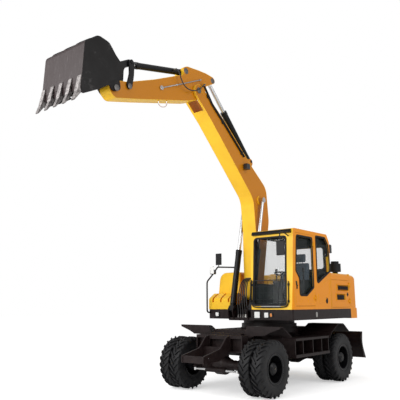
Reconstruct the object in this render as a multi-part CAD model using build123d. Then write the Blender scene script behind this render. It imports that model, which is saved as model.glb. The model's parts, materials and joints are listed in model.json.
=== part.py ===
# A wheeled excavator on twin tyres, parked with its boom up and its bucket tipped out.
# Millimetres. X points forward from the slew axis while it is built, Y to the operator's
# left and Z up from the ground. At the end everything moves along X, so that the origin
# lies under the middle of the whole machine.
from build123d import *
import math
import os

# Wheels and axles
tyre_radius = 509
tyre_width = 245
tyre_bead_radius = 254
lug_height = 30
lug_count = 18
lug_width = 52
lug_sweep = 95
twin_pitch = 268
tyres_overall_width = 2429
wheelbase = 2800
front_axle_x = 1720
hub_seat_y = 650
hub_radius = 120
drum_radius = 150
kingpin_y = 560
kingpin_radius = 30
knuckle_radius = 72
steering_x = front_axle_x + 205
steering_z = 430
steering_rod_radius = 22
steering_half_barrel = 230
steering_eye_y = 505
axle_tube_radius = 78
diff_radius = 178
shaft_radius = 36
seat_gap = 0.3
running_gap = 0.05

# Chassis
frame_half_width = 400
frame_top_z = 1100
frame_bottom_z = 640
frame_front_bottom_z = 730
frame_rear_x = -1540
frame_front_x = 1640
nose_length = 190
nose_half_width = 555
nose_top_z = 1070
nose_bottom_z = 760
deck_half_width = 470
deck_front_x = 1440
deck_rear_x = -1000
horn_y = 250
horn_thickness = 30
horn_front_x = 2620
tow_eye_x = 2460
tow_eye_z = 690
tow_eye_radius = 20
race_radius = 600
race_bottom_z = 1160
race_split_z = 1250
fender_outer_y = 1210
fender_inner_y = 470
fender_z = 1240
fender_sheet = 12
step_outer_y = 1195
step_inner_y = 800
step_front_x = 950
step_rear_x = -470
step_top_z = 1000
step_bottom_z = 640

# Blade at the rear
blade_half_width = 1245
blade_pivot_x = -1360
blade_pivot_z = 600
blade_top_z = 1020
blade_bottom_z = 420
blade_back_x = -2020
blade_sheet = 26
blade_arm_y = 310
blade_arm_thickness = 60
blade_cylinder_y = 455
blade_cylinder_base_x = -1620
blade_cylinder_base_z = 1010
blade_cylinder_rod_x = -1930
blade_cylinder_rod_z = 590

# Upper frame, counterweight, hood
upper_bottom_z = 1344
upper_deck_z = 1550
upper_half_width = 1200
upper_front_left_x = 1020
upper_front_right_x = 610
upper_skirt = 14
tail_radius = 2240
tail_lip = 45
tail_front_x = -1620
hood_front_x = -655
hood_top_z = 2335
hood_sheet = 30
lid_half_width = 560
louvre_proud = 9

# Cab
cab_right_y = 207
cab_left_y = 1200
cab_front_x = 1018
cab_front_lean = 95
cab_rear_x = -635
cab_roof_z = 3160
cab_wall = 55
cab_corner_radius = 90
pillar_front_x = 925
pillar_middle_x = 70
door_gap = 6
door_thickness = 44
sill_z = 1615
glass_thickness = 6

# Boom, in the side plane: s runs from foot to tip, n stands square to it
boom_y = -120
boom_width = 340
boom_foot_x = 360
boom_foot_z = 1850
boom_angle = 62.4
boom_length = 4550
boom_foot_pin_radius = 45
boom_foot_radius = 135
boom_tip_radius = 125
fork_gap = 250
fork_depth = 405
boom_cylinder_offset = 245
boom_cylinder_foot_x = 860
boom_cylinder_foot_z = 1550
boom_rod_s = 1838
boom_rod_n = 996
arm_cylinder_s = 2700
arm_cylinder_n = 1267

# Arm, bucket and their links, in the same way
arm_angle = -16.4
arm_length = 2262
arm_width = 240
arm_tip_radius = 150
arm_rod_s = -609
arm_rod_n = 227
bucket_base_s = 226
bucket_base_n = 400
side_link_s = 1928
side_link_n = 37
link_joint_s = 1757
link_joint_n = 476
bucket_angle = -29.4
bucket_reach = 1262
bucket_width = 1000
bucket_sheet = 22
bucket_ear_s = -107
bucket_ear_n = 353
bucket_ear_gap = 256
bucket_ear_thickness = 36
side_link_thickness = 26
link_half_width = 112
link_pin_radius = 32
tooth_count = 5

# Pipes and hoses
pipe_radius = 11
pipe_stand = 15
hose_radius = 12
foot_hose_count = 5
foot_hose_top_pitch = 33
foot_hose_low_pitch = 62
foot_hose_low_x = 810
manifold_front_x = 520
manifold_z = (2150, 2260)
crossing_hose_radius = 11
crossing_hose_y = 205
crossing_stub = 50
crossing_end = (-190, 120)
crossing_before = (-80, 60)
loop_hose_radius = 7
loop_hose_y = 60
loop_hose_s = (1160, 930)
loop_stub_n = -202

# Cylinders: barrel radius, rod radius, width of the eyes, barrel from its pin to its end,
# stroke left to pull in from the parked pose, radius of the pin
boom_cylinder = (65, 38, 84, 1297, 890, 34)
arm_cylinder = (66, 40, 92, 1310, 490, 34)
bucket_cylinder = (60, 36, 84, 1305, 125, 32)
blade_cylinder = (44, 25, 62, 384, 52, 24)
base_run = 1.9
lug_thickness = 22
cheek_thickness = 22
plate_gap = 5

link_fork_half = bucket_cylinder[2] / 2 + plate_gap + 2
rear_axle_x = front_axle_x - wheelbase
axle_z = tyre_radius
twin_centre_y = (tyres_overall_width - tyre_width - twin_pitch) / 2
cab_middle_y = (cab_left_y + cab_right_y) / 2


def outline(rows):
    """A closed face from corners (u, v, radius), each corner rounded by its radius."""
    corners = [Vector(row[0], row[1], 0) for row in rows]
    starts, ends, middles = [], [], []
    for index, corner in enumerate(corners):
        back = corners[index - 1] - corner
        ahead = corners[(index + 1) % len(corners)] - corner
        radius = rows[index][2]
        if radius == 0:
            starts.append(corner)
            ends.append(corner)
            middles.append(None)
            continue
        half = math.radians(back.get_angle(ahead)) / 2
        run = min(radius / math.tan(half), 0.48 * min(back.length, ahead.length))
        radius = run * math.tan(half)
        starts.append(corner + back.normalized() * run)
        ends.append(corner + ahead.normalized() * run)
        towards = (back.normalized() + ahead.normalized()).normalized()
        middles.append(corner + towards * (radius / math.sin(half) - radius))
    edges = []
    for index in range(len(corners)):
        after = (index + 1) % len(corners)
        if middles[index] is not None:
            edges.append(ThreePointArc(starts[index], middles[index], ends[index]))
        if (starts[after] - ends[index]).length > 0.001:
            edges.append(Line(ends[index], starts[after]))
    return make_face(edges)


def slab(rows, y_from, y_to):
    """A side outline (x, z, radius) carried across from y_from to y_to."""
    side = Plane(origin=(0, y_to, 0), x_dir=(1, 0, 0), z_dir=(0, -1, 0))
    return extrude(side * outline(rows), amount=y_to - y_from, dir=(0, -1, 0))


def plate(rows, z_from, z_to):
    """A plan outline (x, y, radius) carried up from z_from to z_to."""
    return extrude(Plane.XY.offset(z_from) * outline(rows), amount=z_to - z_from, dir=(0, 0, 1))


def panel(rows, x_from, x_to):
    """A front outline (y, z, radius) carried forward from x_from to x_to."""
    front = Plane(origin=(x_from, 0, 0), x_dir=(0, 1, 0), z_dir=(1, 0, 0))
    return extrude(front * outline(rows), amount=x_to - x_from, dir=(1, 0, 0))


def block(x_from, x_to, y_from, y_to, z_from, z_to):
    middle = ((x_from + x_to) / 2, (y_from + y_to) / 2, (z_from + z_to) / 2)
    return Pos(*middle) * Box(x_to - x_from, y_to - y_from, z_to - z_from)


def bar(start, end, radius):
    """A round bar between two points."""
    start, end = Vector(*start), Vector(*end)
    along = end - start
    return Part() + Solid.make_cylinder(radius, along.length, Plane(origin=start, z_dir=along.normalized()))


def across(x, z, radius, y_from, y_to):
    """A round bar that lies along Y."""
    return bar((x, y_from, z), (x, y_to, z), radius)


def upright(x, y, radius, z_from, z_to):
    return bar((x, y, z_from), (x, y, z_to), radius)


def turned(rows, x, z):
    """A profile (radius, y, corner radius) turned about the line along Y through x, z."""
    half = Plane(origin=(x, 0, z), x_dir=(1, 0, 0), z_dir=(0, 0, 1)) * outline(rows)
    return revolve(half, Axis((x, 0, z), (0, 1, 0)))


def other_side(shape):
    return mirror(shape, about=Plane.XZ)


def both_sides(shape):
    return [shape, other_side(shape)]


def local(origin, angle, s, n):
    """World x, z of a place given along and square to a member's own line."""
    turn = math.radians(angle)
    x = origin[0] + s * math.cos(turn) - n * math.sin(turn)
    z = origin[1] + s * math.sin(turn) + n * math.cos(turn)
    return x, z


def member(origin, angle, rows):
    """Rows (s, n, radius) of a member turned into rows (x, z, radius) of the machine."""
    return [local(origin, angle, s, n) + (radius,) for s, n, radius in rows]


def tube(points, radii, radius):
    """A round tube along straight runs joined by tangent arcs."""
    path = FilletPolyline(*points, radius=radii) if len(points) > 2 else Line(*points)
    section = Plane(origin=path @ 0, z_dir=path % 0) * Circle(radius)
    return Part() + sweep(section, path=path)


def easy_radii(points):
    """For each corner of a route, the largest arc that its two runs allow."""
    corners = [Vector(*point) for point in points]
    radii = []
    for before, corner, after in zip(corners, corners[1:], corners[2:]):
        run = min((corner - before).length, (after - corner).length)
        turn = math.radians((corner - before).get_angle(after - corner))
        radii.append(0.45 * run / math.tan(turn / 2))
    return radii


def hose(name, points, radius):
    radii = easy_radii(points)
    print(name, "arcs from", round(min(radii)), "to", round(max(radii)))
    return tube(points, radii, radius)


boom_foot = (boom_foot_x, boom_foot_z)
boom_tip = local(boom_foot, boom_angle, boom_length, 0)
boom_rod_pin = local(boom_foot, boom_angle, boom_rod_s, boom_rod_n)
boom_cylinder_foot = (boom_cylinder_foot_x, boom_cylinder_foot_z)
arm_cylinder_base = local(boom_foot, boom_angle, arm_cylinder_s, arm_cylinder_n)
arm_rod_pin = local(boom_tip, arm_angle, arm_rod_s, arm_rod_n)
bucket_cylinder_base = local(boom_tip, arm_angle, bucket_base_s, bucket_base_n)
side_link_pin = local(boom_tip, arm_angle, side_link_s, side_link_n)
link_joint = local(boom_tip, arm_angle, link_joint_s, link_joint_n)
bucket_pin = local(boom_tip, arm_angle, arm_length, 0)
bucket_ear_pin = local(bucket_pin, bucket_angle, bucket_ear_s, bucket_ear_n)
blade_pivot = (blade_pivot_x, blade_pivot_z)
blade_cylinder_base = (blade_cylinder_base_x, blade_cylinder_base_z)
blade_cylinder_rod = (blade_cylinder_rod_x, blade_cylinder_rod_z)


# Wheels

def tyre():
    """One tyre about the line along Y: the carcass, and slanting lugs over both shoulders."""
    half = tyre_width / 2
    base = tyre_radius - lug_height
    side = [  # radius, y, corner radius
        (tyre_bead_radius, half - 27, 0),
        (tyre_bead_radius + 30, half - 27, 0),
        (tyre_bead_radius + 95, half, 40),
        (base - 34, half, 30),
        (base, half - 30, 12),
    ]
    carcass = turned([(radius, -y, corner) for radius, y, corner in side] + side[::-1], 0, 0)
    tips = [(0, half, 0), (tyre_radius - 46, half, 0), (tyre_radius, half - 26, 0)]
    reach = turned([(radius, -y, corner) for radius, y, corner in tips] + tips[::-1], 0, 0)
    lug = plate([
        (-lug_width / 2, 8, 0),
        (lug_width / 2, 8, 0),
        (lug_sweep + lug_width / 2, half, 0),
        (lug_sweep - lug_width / 2, half, 0),
    ], base - 50, tyre_radius) & reach
    lugs = []
    for index in range(lug_count):
        turn = index * 360 / lug_count
        lugs.append(Rot(0, turn, 0) * lug)
        lugs.append(Rot(0, turn + 180 / lug_count, 0) * other_side(lug))
    return carcass + lugs


def rim(x):
    """Both rims of a left pair with their disc, brake drum and geared hub."""
    tube = tyre_bead_radius - 0.5
    tube_inside = tyre_bead_radius - 16
    flange = tyre_bead_radius + 21
    half_tube = twin_pitch / 2 + 0.39 * tyre_width + 0.5
    half_flange = half_tube + 10
    inner_y = hub_seat_y - twin_centre_y
    rows = [  # radius, y from the middle of the pair, corner radius
        (0, inner_y, 0),
        (drum_radius, inner_y, 0),
        (drum_radius, -10, 0),
        (tube_inside, -10, 0),
        (tube_inside, -half_flange, 0),
        (flange, -half_flange, 0),
        (flange, -half_tube, 0),
        (tube, -half_tube, 0),
        (tube, half_tube, 0),
        (flange, half_tube, 0),
        (flange, half_flange, 0),
        (tube_inside, half_flange, 0),
        (tube_inside, 14, 0),
        (hub_radius + 45, 14, 0),
        (hub_radius + 45, 34, 0),
        (hub_radius, 34, 0),
        (hub_radius - 8, 190, 12),
        (0.62 * hub_radius, 222, 8),
        (0, 222, 0),
    ]
    rows = [(radius, twin_centre_y + y, corner) for radius, y, corner in rows]
    return turned(rows, x, axle_z)


# Axles and driveline

def axle_core(x, nose_sign):
    """Differential with its tapered arms and the nose that takes the drive shaft."""
    arm_end_y = 300
    rows = [  # radius, y, corner radius
        (0, -arm_end_y, 0),
        (axle_tube_radius, -arm_end_y, 0),
        (axle_tube_radius + 34, -215, 60),
        (diff_radius, -95, 60),
        (diff_radius, 95, 60),
        (axle_tube_radius + 34, 215, 60),
        (axle_tube_radius, arm_end_y, 0),
        (0, arm_end_y, 0),
    ]
    core = turned(rows, x, axle_z)
    core += bar((x, 0, axle_z), (x + nose_sign * 300, 0, axle_z), 88)
    core += bar((x + nose_sign * 300, 0, axle_z), (x + nose_sign * 330, 0, axle_z), 66)
    return core


yoke_top_z = axle_z + 92
yoke_thickness = 38
yoke_inner_y = kingpin_y - 130
yoke_wall = 26
yoke_half_length = 50


def front_axle():
    """Steered axle: beam, yokes round the knuckles and the saddle under the chassis."""
    beam = axle_core(front_axle_x, -1)
    for side in (1, -1):
        beam += across(front_axle_x, axle_z, axle_tube_radius, side * 290, side * (yoke_inner_y + 5))
        yoke = block(front_axle_x - yoke_half_length, front_axle_x + yoke_half_length,
                     yoke_inner_y, yoke_inner_y + yoke_wall,
                     axle_z - 92 - yoke_thickness, yoke_top_z + yoke_thickness)
        for low in (axle_z - 92 - yoke_thickness, yoke_top_z):
            reach = plate([
                (front_axle_x - yoke_half_length, yoke_inner_y, 0),
                (front_axle_x + yoke_half_length, yoke_inner_y, 0),
                (front_axle_x + yoke_half_length, kingpin_y + yoke_half_length, 50),
                (front_axle_x - yoke_half_length, kingpin_y + yoke_half_length, 50),
            ], low, low + yoke_thickness)
            yoke += reach - upright(front_axle_x, kingpin_y, kingpin_radius + running_gap, 0, 1000)
        beam += yoke if side == 1 else other_side(yoke)
    saddle = block(frame_front_x, front_axle_x + 80, -110, 110, axle_z + 100, nose_bottom_z)
    holder = block(front_axle_x + 90, steering_x, -60, 60, steering_z - 25, steering_z + 25)
    barrel = across(steering_x, steering_z, 42, -steering_half_barrel, steering_half_barrel)
    barrel -= across(steering_x, steering_z, steering_rod_radius + running_gap, -400, 400)
    return beam + saddle + (holder - across(steering_x, steering_z, 30, -400, 400)) + barrel


def steering_rod():
    """The steering cylinder's through rod, with a ball eye under each knuckle arm."""
    rod = across(steering_x, steering_z, steering_rod_radius, -steering_eye_y, steering_eye_y)
    for side in (1, -1):
        rod += upright(steering_x, side * steering_eye_y, 34, steering_z - 24, steering_z + 24)
    return rod


def knuckle():
    """Left knuckle: kingpin, swivel block, the spindle towards the hub and its steering arm."""
    gap = 3
    body = upright(front_axle_x, kingpin_y, knuckle_radius, axle_z - 92 + gap, axle_z + 92 - gap)
    body += upright(front_axle_x, kingpin_y, kingpin_radius,
                    axle_z - 92 - yoke_thickness, yoke_top_z + yoke_thickness)
    body += across(front_axle_x, axle_z, 68, kingpin_y, hub_seat_y - seat_gap)
    arm = plate([
        (front_axle_x, kingpin_y - 40, 0),
        (front_axle_x, kingpin_y + 40, 0),
        (steering_x + 32, steering_eye_y + 28, 28),
        (steering_x + 32, steering_eye_y - 28, 28),
    ], steering_z + 24 + plate_gap, steering_z + 24 + plate_gap + 32)
    return body + arm


def rear_axle():
    """Rigid rear axle with the spring seats that meet the chassis."""
    beam = axle_core(rear_axle_x, 1)
    for side in (1, -1):
        beam += across(rear_axle_x, axle_z, axle_tube_radius, side * 290, side * 600)
        beam += across(rear_axle_x, axle_z, 128, side * 560, side * (hub_seat_y - seat_gap))
        beam += block(rear_axle_x - 85, rear_axle_x + 85, side * 350 - 55, side * 350 + 55,
                      axle_z, frame_bottom_z)
    return beam


shaft_front_end_x = front_axle_x - 330 - seat_gap
gearbox_front_x = 330
gearbox_rear_x = -190
shaft_rear_end_x = rear_axle_x + 330 + seat_gap


def transmission():
    """Gearbox with its travel motor, hung under the chassis."""
    box = slab([
        (gearbox_rear_x, 430, 30),
        (gearbox_front_x, 430, 30),
        (gearbox_front_x, frame_bottom_z, 0),
        (gearbox_rear_x, frame_bottom_z, 0),
    ], -150, 150)
    box += across(60, 540, 72, 140, 330)
    box += across(60, 540, 88, 140, 190)
    box += upright(-110, -60, 34, 400, 440)
    return box


def drive_shafts():
    """Front and rear shafts with their joint flanges."""
    shafts = []
    for start, end in ((gearbox_front_x + seat_gap, shaft_front_end_x),
                       (gearbox_rear_x - seat_gap, shaft_rear_end_x)):
        sign = 1 if end > start else -1
        shaft = bar((start, 0, axle_z), (end, 0, axle_z), shaft_radius)
        for near, far in ((start, start + sign * 26), (end - sign * 26, end)):
            shaft += bar((near, 0, axle_z), (far, 0, axle_z), 64)
        for near, far in ((start + sign * 40, start + sign * 120), (end - sign * 120, end - sign * 40)):
            shaft += bar((near, 0, axle_z), (far, 0, axle_z), 50)
        shafts.append(shaft)
    return shafts


# Chassis

def chassis_frame():
    """Main box, slew pedestal, front nose and the brackets that carry the blade."""
    frame = slab([
        (frame_rear_x, frame_top_z - 40, 60),
        (frame_rear_x, frame_bottom_z + 60, 60),
        (rear_axle_x - 170, frame_bottom_z, 0),
        (1180, frame_bottom_z, 0),
        (1330, frame_front_bottom_z, 0),
        (frame_front_x, frame_front_bottom_z + 30, 0),
        (frame_front_x, frame_top_z, 0),
        (frame_rear_x + 140, frame_top_z, 60),
    ], -frame_half_width, frame_half_width)
    frame += plate([
        (deck_front_x, -deck_half_width, 90),
        (deck_front_x, deck_half_width, 90),
        (deck_rear_x, deck_half_width, 160),
        (deck_rear_x, -deck_half_width, 160),
    ], frame_top_z - 30, race_bottom_z)
    frame += upright(0, 0, race_radius + 25, frame_top_z - 30, race_bottom_z)
    nose_x = frame_front_x + nose_length
    nose = block(frame_front_x, nose_x, -nose_half_width, nose_half_width, nose_bottom_z, nose_top_z)
    pocket_depth = 90
    for y_from, y_to in ((-nose_half_width + 25, -horn_y - 30), (horn_y + 30, nose_half_width - 25)):
        nose -= block(nose_x - pocket_depth, nose_x + 1, y_from, y_to, nose_bottom_z + 25, nose_top_z - 55)
    nose -= block(nose_x - pocket_depth, nose_x + 1, -horn_y + 30, horn_y - 30,
                  nose_bottom_z - 1, nose_top_z - 75)
    frame += nose
    frame -= across(rear_axle_x, axle_z, diff_radius + 12, -230, 230)
    lug_inside = blade_cylinder[2] / 2 + plate_gap
    for side in (1, -1):
        bracket = slab([
            (frame_rear_x + 20, blade_cylinder_base_z - 60, 0),
            (frame_rear_x + 20, blade_cylinder_base_z + 60, 0),
            (blade_cylinder_base_x - 45, blade_cylinder_base_z + 40, 40),
            (blade_cylinder_base_x - 45, blade_cylinder_base_z - 40, 40),
        ], blade_cylinder_y - lug_inside - lug_thickness, blade_cylinder_y - lug_inside)
        bracket -= across(*blade_cylinder_base, blade_cylinder[5] + running_gap, 0, 1000)
        beam = block(frame_rear_x, frame_rear_x + 60, 300, blade_cylinder_y + 70,
                     blade_cylinder_base_z - 60, blade_cylinder_base_z + 60)
        outer = mirror(bracket, about=Plane.XZ.offset(-blade_cylinder_y))
        lug_y = blade_arm_y + blade_arm_thickness / 2 + plate_gap
        lug = slab([
            (blade_pivot_x + 150, frame_bottom_z + 30, 0),
            (blade_pivot_x + 60, blade_pivot_z - 70, 60),
            (blade_pivot_x - 70, blade_pivot_z - 70, 60),
            (blade_pivot_x - 120, frame_bottom_z + 90, 0),
        ], lug_y, lug_y + 25)
        inner_lug = mirror(lug, about=Plane.XZ.offset(-blade_arm_y))
        pin = across(blade_pivot[0], blade_pivot[1], 35,
                     blade_arm_y - blade_arm_thickness / 2 - plate_gap - 25,
                     blade_arm_y + blade_arm_thickness / 2 + plate_gap + 30)
        for piece in (bracket, outer, beam, lug, inner_lug, pin):
            frame += piece if side == 1 else other_side(piece)
    return frame


def front_bracket():
    """Two curved horns ahead of the nose, with the step bar across their ends."""
    nose_x = frame_front_x + nose_length
    horns = []
    rows = [  # x, z, corner radius
        (nose_x, nose_top_z - 10, 0),
        (nose_x + 90, nose_top_z - 25, 60),
        (nose_x + 290, nose_bottom_z + 80, 160),
        (horn_front_x, 735, 20),
        (horn_front_x, 605, 20),
        (nose_x + 330, 625, 60),
        (nose_x, nose_bottom_z - 20, 0),
    ]
    for y in (-horn_y, horn_y):
        horns.append(slab(rows, y - horn_thickness / 2, y + horn_thickness / 2))
    bar_box = block(horn_front_x - 70, horn_front_x - 10, -horn_y, horn_y, 610, 730)
    stiffener = block(nose_x + 120, nose_x + 150, -horn_y, horn_y, 700, 860)
    bracket = horns[0] + horns[1] + bar_box + stiffener
    return bracket - across(tow_eye_x, tow_eye_z, tow_eye_radius, -400, 400)


def front_fender():
    """Left front wing: a plate across the chassis and the sheet that falls away behind it."""
    front_x = front_axle_x - 185
    drop_x = front_axle_x - 600
    drop_z = 1045
    sheet = slab([
        (front_x, fender_z, 0),
        (front_x - 90, fender_z, 160),
        (drop_x, drop_z, 0),
        (drop_x + 6, drop_z - fender_sheet, 0),
        (front_x - 94, fender_z - fender_sheet, 150),
        (front_x, fender_z - fender_sheet, 0),
    ], fender_inner_y, fender_outer_y)
    brace = panel([
        (frame_half_width, 960, 0),
        (640, 1062, 30),
        (860, 1070, 80),
        (980, 1125, 60),
        (fender_outer_y, fender_z - 34, 0),
        (fender_outer_y, fender_z, 0),
        (fender_inner_y, fender_z, 60),
        (frame_half_width, frame_top_z - 20, 0),
    ], front_x, front_x + fender_sheet)
    stay = block(drop_x + 20, drop_x + 20 + fender_sheet, frame_half_width, fender_outer_y - 200,
                 drop_z - 60, drop_z + 4)
    return sheet + brace + stay


def rear_fender():
    """Left rear wing, from the end of the step box over the wheel."""
    sheet_rows = [  # x, z, corner radius, along the top of the sheet
        (step_rear_x, step_top_z - 42, 0),
        (rear_axle_x + 500, 1075, 140),
        (rear_axle_x + 170, fender_z - 5, 120),
        (rear_axle_x - 80, fender_z - 5, 140),
        (rear_axle_x - 370, 1050, 0),
    ]
    under = [(x, z - fender_sheet, corner) for x, z, corner in reversed(sheet_rows)]
    sheet = slab(sheet_rows + under, fender_inner_y, fender_outer_y)
    wall = slab([
        (rear_axle_x + 470, 1000, 0),
        (rear_axle_x + 480, 1075, 100),
        (rear_axle_x + 170, fender_z - 12, 120),
        (rear_axle_x - 80, fender_z - 12, 140),
        (rear_axle_x - 350, 1052, 0),
        (rear_axle_x - 350, 1000, 0),
    ], fender_inner_y, fender_inner_y + fender_sheet)
    for x in (rear_axle_x - 240, rear_axle_x + 260):
        wall += block(x, x + 60, frame_half_width, fender_inner_y + 1, 1000, 1050)
    return sheet + wall


def side_step():
    """Left tool box with two treads and their uprights."""
    box = slab([
        (step_rear_x, step_bottom_z, 20),
        (step_front_x, step_bottom_z, 20),
        (step_front_x, step_top_z - 20, 20),
        (step_rear_x, step_top_z - 20, 20),
    ], frame_half_width, step_inner_y)
    box += block(step_rear_x, step_front_x, step_inner_y - 1, step_outer_y, step_top_z - 45, step_top_z)
    tread_top_z = step_bottom_z + 55
    box += block(step_rear_x, step_front_x, step_inner_y - 1, step_outer_y, step_bottom_z, tread_top_z)
    for share in (0, 0.22, 0.49, 0.78, 1):
        x = step_rear_x + share * (step_front_x - step_rear_x - 24)
        box += block(x, x + 24, step_inner_y - 1, step_outer_y - 20, step_bottom_z, step_top_z - 10)
    return box


def blade():
    """Curved mouldboard with its cutting edge, ribs, arms and cylinder lugs."""
    depth = blade_top_z - blade_bottom_z
    edge_x = blade_back_x - 190
    bow_x = blade_back_x + 10
    face = [  # x, z, corner radius, down the working face
        (blade_back_x - 60, blade_top_z, 0),
        (bow_x - 30, blade_bottom_z + 0.55 * depth, 400),
        (edge_x, blade_bottom_z, 0),
    ]
    back = [(x + blade_sheet, z + 4, corner) for x, z, corner in reversed(face)]
    board = slab(face + back, -blade_half_width, blade_half_width)
    end_rows = face + [(edge_x + 120, blade_bottom_z + 30, 40), (bow_x + 40, blade_top_z - 120, 60)]
    ahead = slab(face + [(edge_x - 400, blade_bottom_z - 50, 0), (edge_x - 400, blade_top_z + 50, 0)],
                 -blade_half_width, blade_half_width)
    inner_y = 0.45 * blade_half_width
    for y in (-blade_half_width, blade_half_width - 25, -inner_y, inner_y - 25):
        board += slab(end_rows, y, y + 25)
    for side in (1, -1):
        arm = slab([
            (blade_pivot_x + 62, blade_pivot_z, 60),
            (blade_pivot_x + 10, blade_pivot_z + 52, 50),
            (blade_pivot_x - 120, blade_pivot_z + 36, 60),
            (bow_x - 120, blade_bottom_z + 0.62 * depth, 0),
            (bow_x - 180, blade_bottom_z + 0.22 * depth, 0),
            (blade_pivot_x - 120, blade_pivot_z - 66, 60),
            (blade_pivot_x + 10, blade_pivot_z - 66, 60),
        ], blade_arm_y - blade_arm_thickness / 2, blade_arm_y + blade_arm_thickness / 2)
        arm -= across(blade_pivot[0], blade_pivot[1], 35 + running_gap, 0, 600)
        lug_y = blade_cylinder_y + blade_cylinder[2] / 2 + plate_gap
        lug = slab([
            (blade_cylinder_rod_x + 45, blade_cylinder_rod_z + 10, 45),
            (blade_cylinder_rod_x + 10, blade_cylinder_rod_z + 60, 45),
            (bow_x - 150, blade_cylinder_rod_z + 110, 0),
            (bow_x - 180, blade_cylinder_rod_z - 70, 0),
            (blade_cylinder_rod_x + 10, blade_cylinder_rod_z - 50, 45),
        ], lug_y, lug_y + lug_thickness)
        inner_lug = mirror(lug, about=Plane.XZ.offset(-blade_cylinder_y))
        for piece in (arm - ahead, lug - ahead, inner_lug - ahead):
            board += piece if side == 1 else other_side(piece)
    return board


# Cylinders

def cylinder_pair(sizes, base, rod_pin):
    """Barrel with its foot pin, and rod with an open eye, both in the plane y = 0."""
    barrel_radius, rod_radius, eye_width, barrel_length, stroke_in, pin_radius = sizes
    base, rod_pin = Vector(base[0], 0, base[1]), Vector(rod_pin[0], 0, rod_pin[1])
    way = (rod_pin - base).normalized()
    angle = math.degrees(math.atan2(way.Z, way.X))
    eye_half = eye_width / 2
    eye_radius = 0.92 * barrel_radius
    body_start = base_run * barrel_radius
    barrel = bar(base + way * body_start, base + way * barrel_length, barrel_radius)
    barrel += bar(base + way * (barrel_length - barrel_radius), base + way * (barrel_length + 12),
                  barrel_radius + 5)
    neck = [(0, -0.8 * eye_radius, 0), (body_start + 4, -0.8 * barrel_radius, 0),
            (body_start + 4, 0.8 * barrel_radius, 0), (0, 0.8 * eye_radius, 0)]
    barrel += slab(member((base.X, base.Z), angle, neck), -eye_half, eye_half)
    barrel += across(base.X, base.Z, eye_radius, -eye_half, eye_half)
    pin_half = eye_half + plate_gap + lug_thickness + 6
    barrel += across(base.X, base.Z, pin_radius, -pin_half, pin_half)
    bore_start = body_start + 16
    barrel -= bar(base + way * bore_start, base + way * (barrel_length + 20), rod_radius + running_gap)
    rod = bar(base + way * (bore_start + stroke_in), rod_pin, rod_radius)
    rod += bar(rod_pin - way * (eye_radius + 34), rod_pin - way * 20, eye_half - 2)
    rod += across(rod_pin.X, rod_pin.Z, eye_radius, -eye_half, eye_half)
    rod += across(rod_pin.X, rod_pin.Z, pin_radius, -eye_half - 3, eye_half + 3)
    return barrel, rod


def moved_across(shape, y):
    return Pos(0, y, 0) * shape


# Boom, arm and bucket

def boom():
    """Welded box boom with its fork, bosses and the ears of the arm cylinder."""
    half = boom_width / 2
    rows = [  # s, n, corner radius
        (-boom_foot_radius, 20, 120),
        (0, -boom_foot_radius, 120),
        (700, 200, 0),
        (1290, 500, 300),
        (1960, 770, 420),
        (2900, 455, 0),
        (3900, 118, 300),
        (boom_length - 60, -boom_tip_radius, 0),
        (boom_length + boom_tip_radius - 10, -boom_tip_radius + 25, 100),
        (boom_length + boom_tip_radius, 90, 100),
        (boom_length - 20, 170, 60),
        (3700, 605, 0),
        (2650, 1055, 0),
        (1990, 1385, 330),
        (1290, 1105, 500),
        (100, boom_foot_radius, 60),
        (-90, 120, 90),
    ]
    body = slab(member(boom_foot, boom_angle, rows), boom_y - half, boom_y + half)
    slot = [
        (boom_length - fork_depth, -400, 0),
        (boom_length + 400, -400, 0),
        (boom_length + 400, 500, 0),
        (boom_length - fork_depth, 500, 0),
    ]
    body -= slab(member(boom_foot, boom_angle, slot), boom_y - fork_gap / 2, boom_y + fork_gap / 2)
    body += across(*boom_tip, 45, boom_y - half - 12, boom_y + half + 12)
    body -= across(*boom_foot, boom_foot_pin_radius + running_gap, boom_y - half - 1, boom_y + half + 1)
    ears = [  # s, n, corner radius
        (arm_cylinder_s - 210, 1040, 0),
        (arm_cylinder_s - 60, arm_cylinder_n + 40, 60),
        (arm_cylinder_s + 60, arm_cylinder_n + 30, 60),
        (arm_cylinder_s + 120, 930, 0),
        (arm_cylinder_s - 100, 1000, 0),
    ]
    ear_inside = arm_cylinder[2] / 2 + plate_gap
    ear_outside = ear_inside + lug_thickness
    for y_from, y_to in ((ear_inside, ear_outside), (-ear_outside, -ear_inside)):
        ear = slab(member(boom_foot, boom_angle, ears), boom_y + y_from, boom_y + y_to)
        body += ear - across(*arm_cylinder_base, arm_cylinder[5] + running_gap, boom_y - 300, boom_y + 300)
    boss_thickness = boom_cylinder_offset - boom_cylinder[2] / 2 - plate_gap - half
    for side in (1, -1):
        face = boom_y + side * half
        body += across(*boom_rod_pin, 105, face - side * 20, face + side * boss_thickness)
    body += block(manifold_front_x - 60, manifold_front_x, boom_y - 95, boom_y + 95, *manifold_z)
    return body + boom_pipes() + crossing_bracket()


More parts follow.
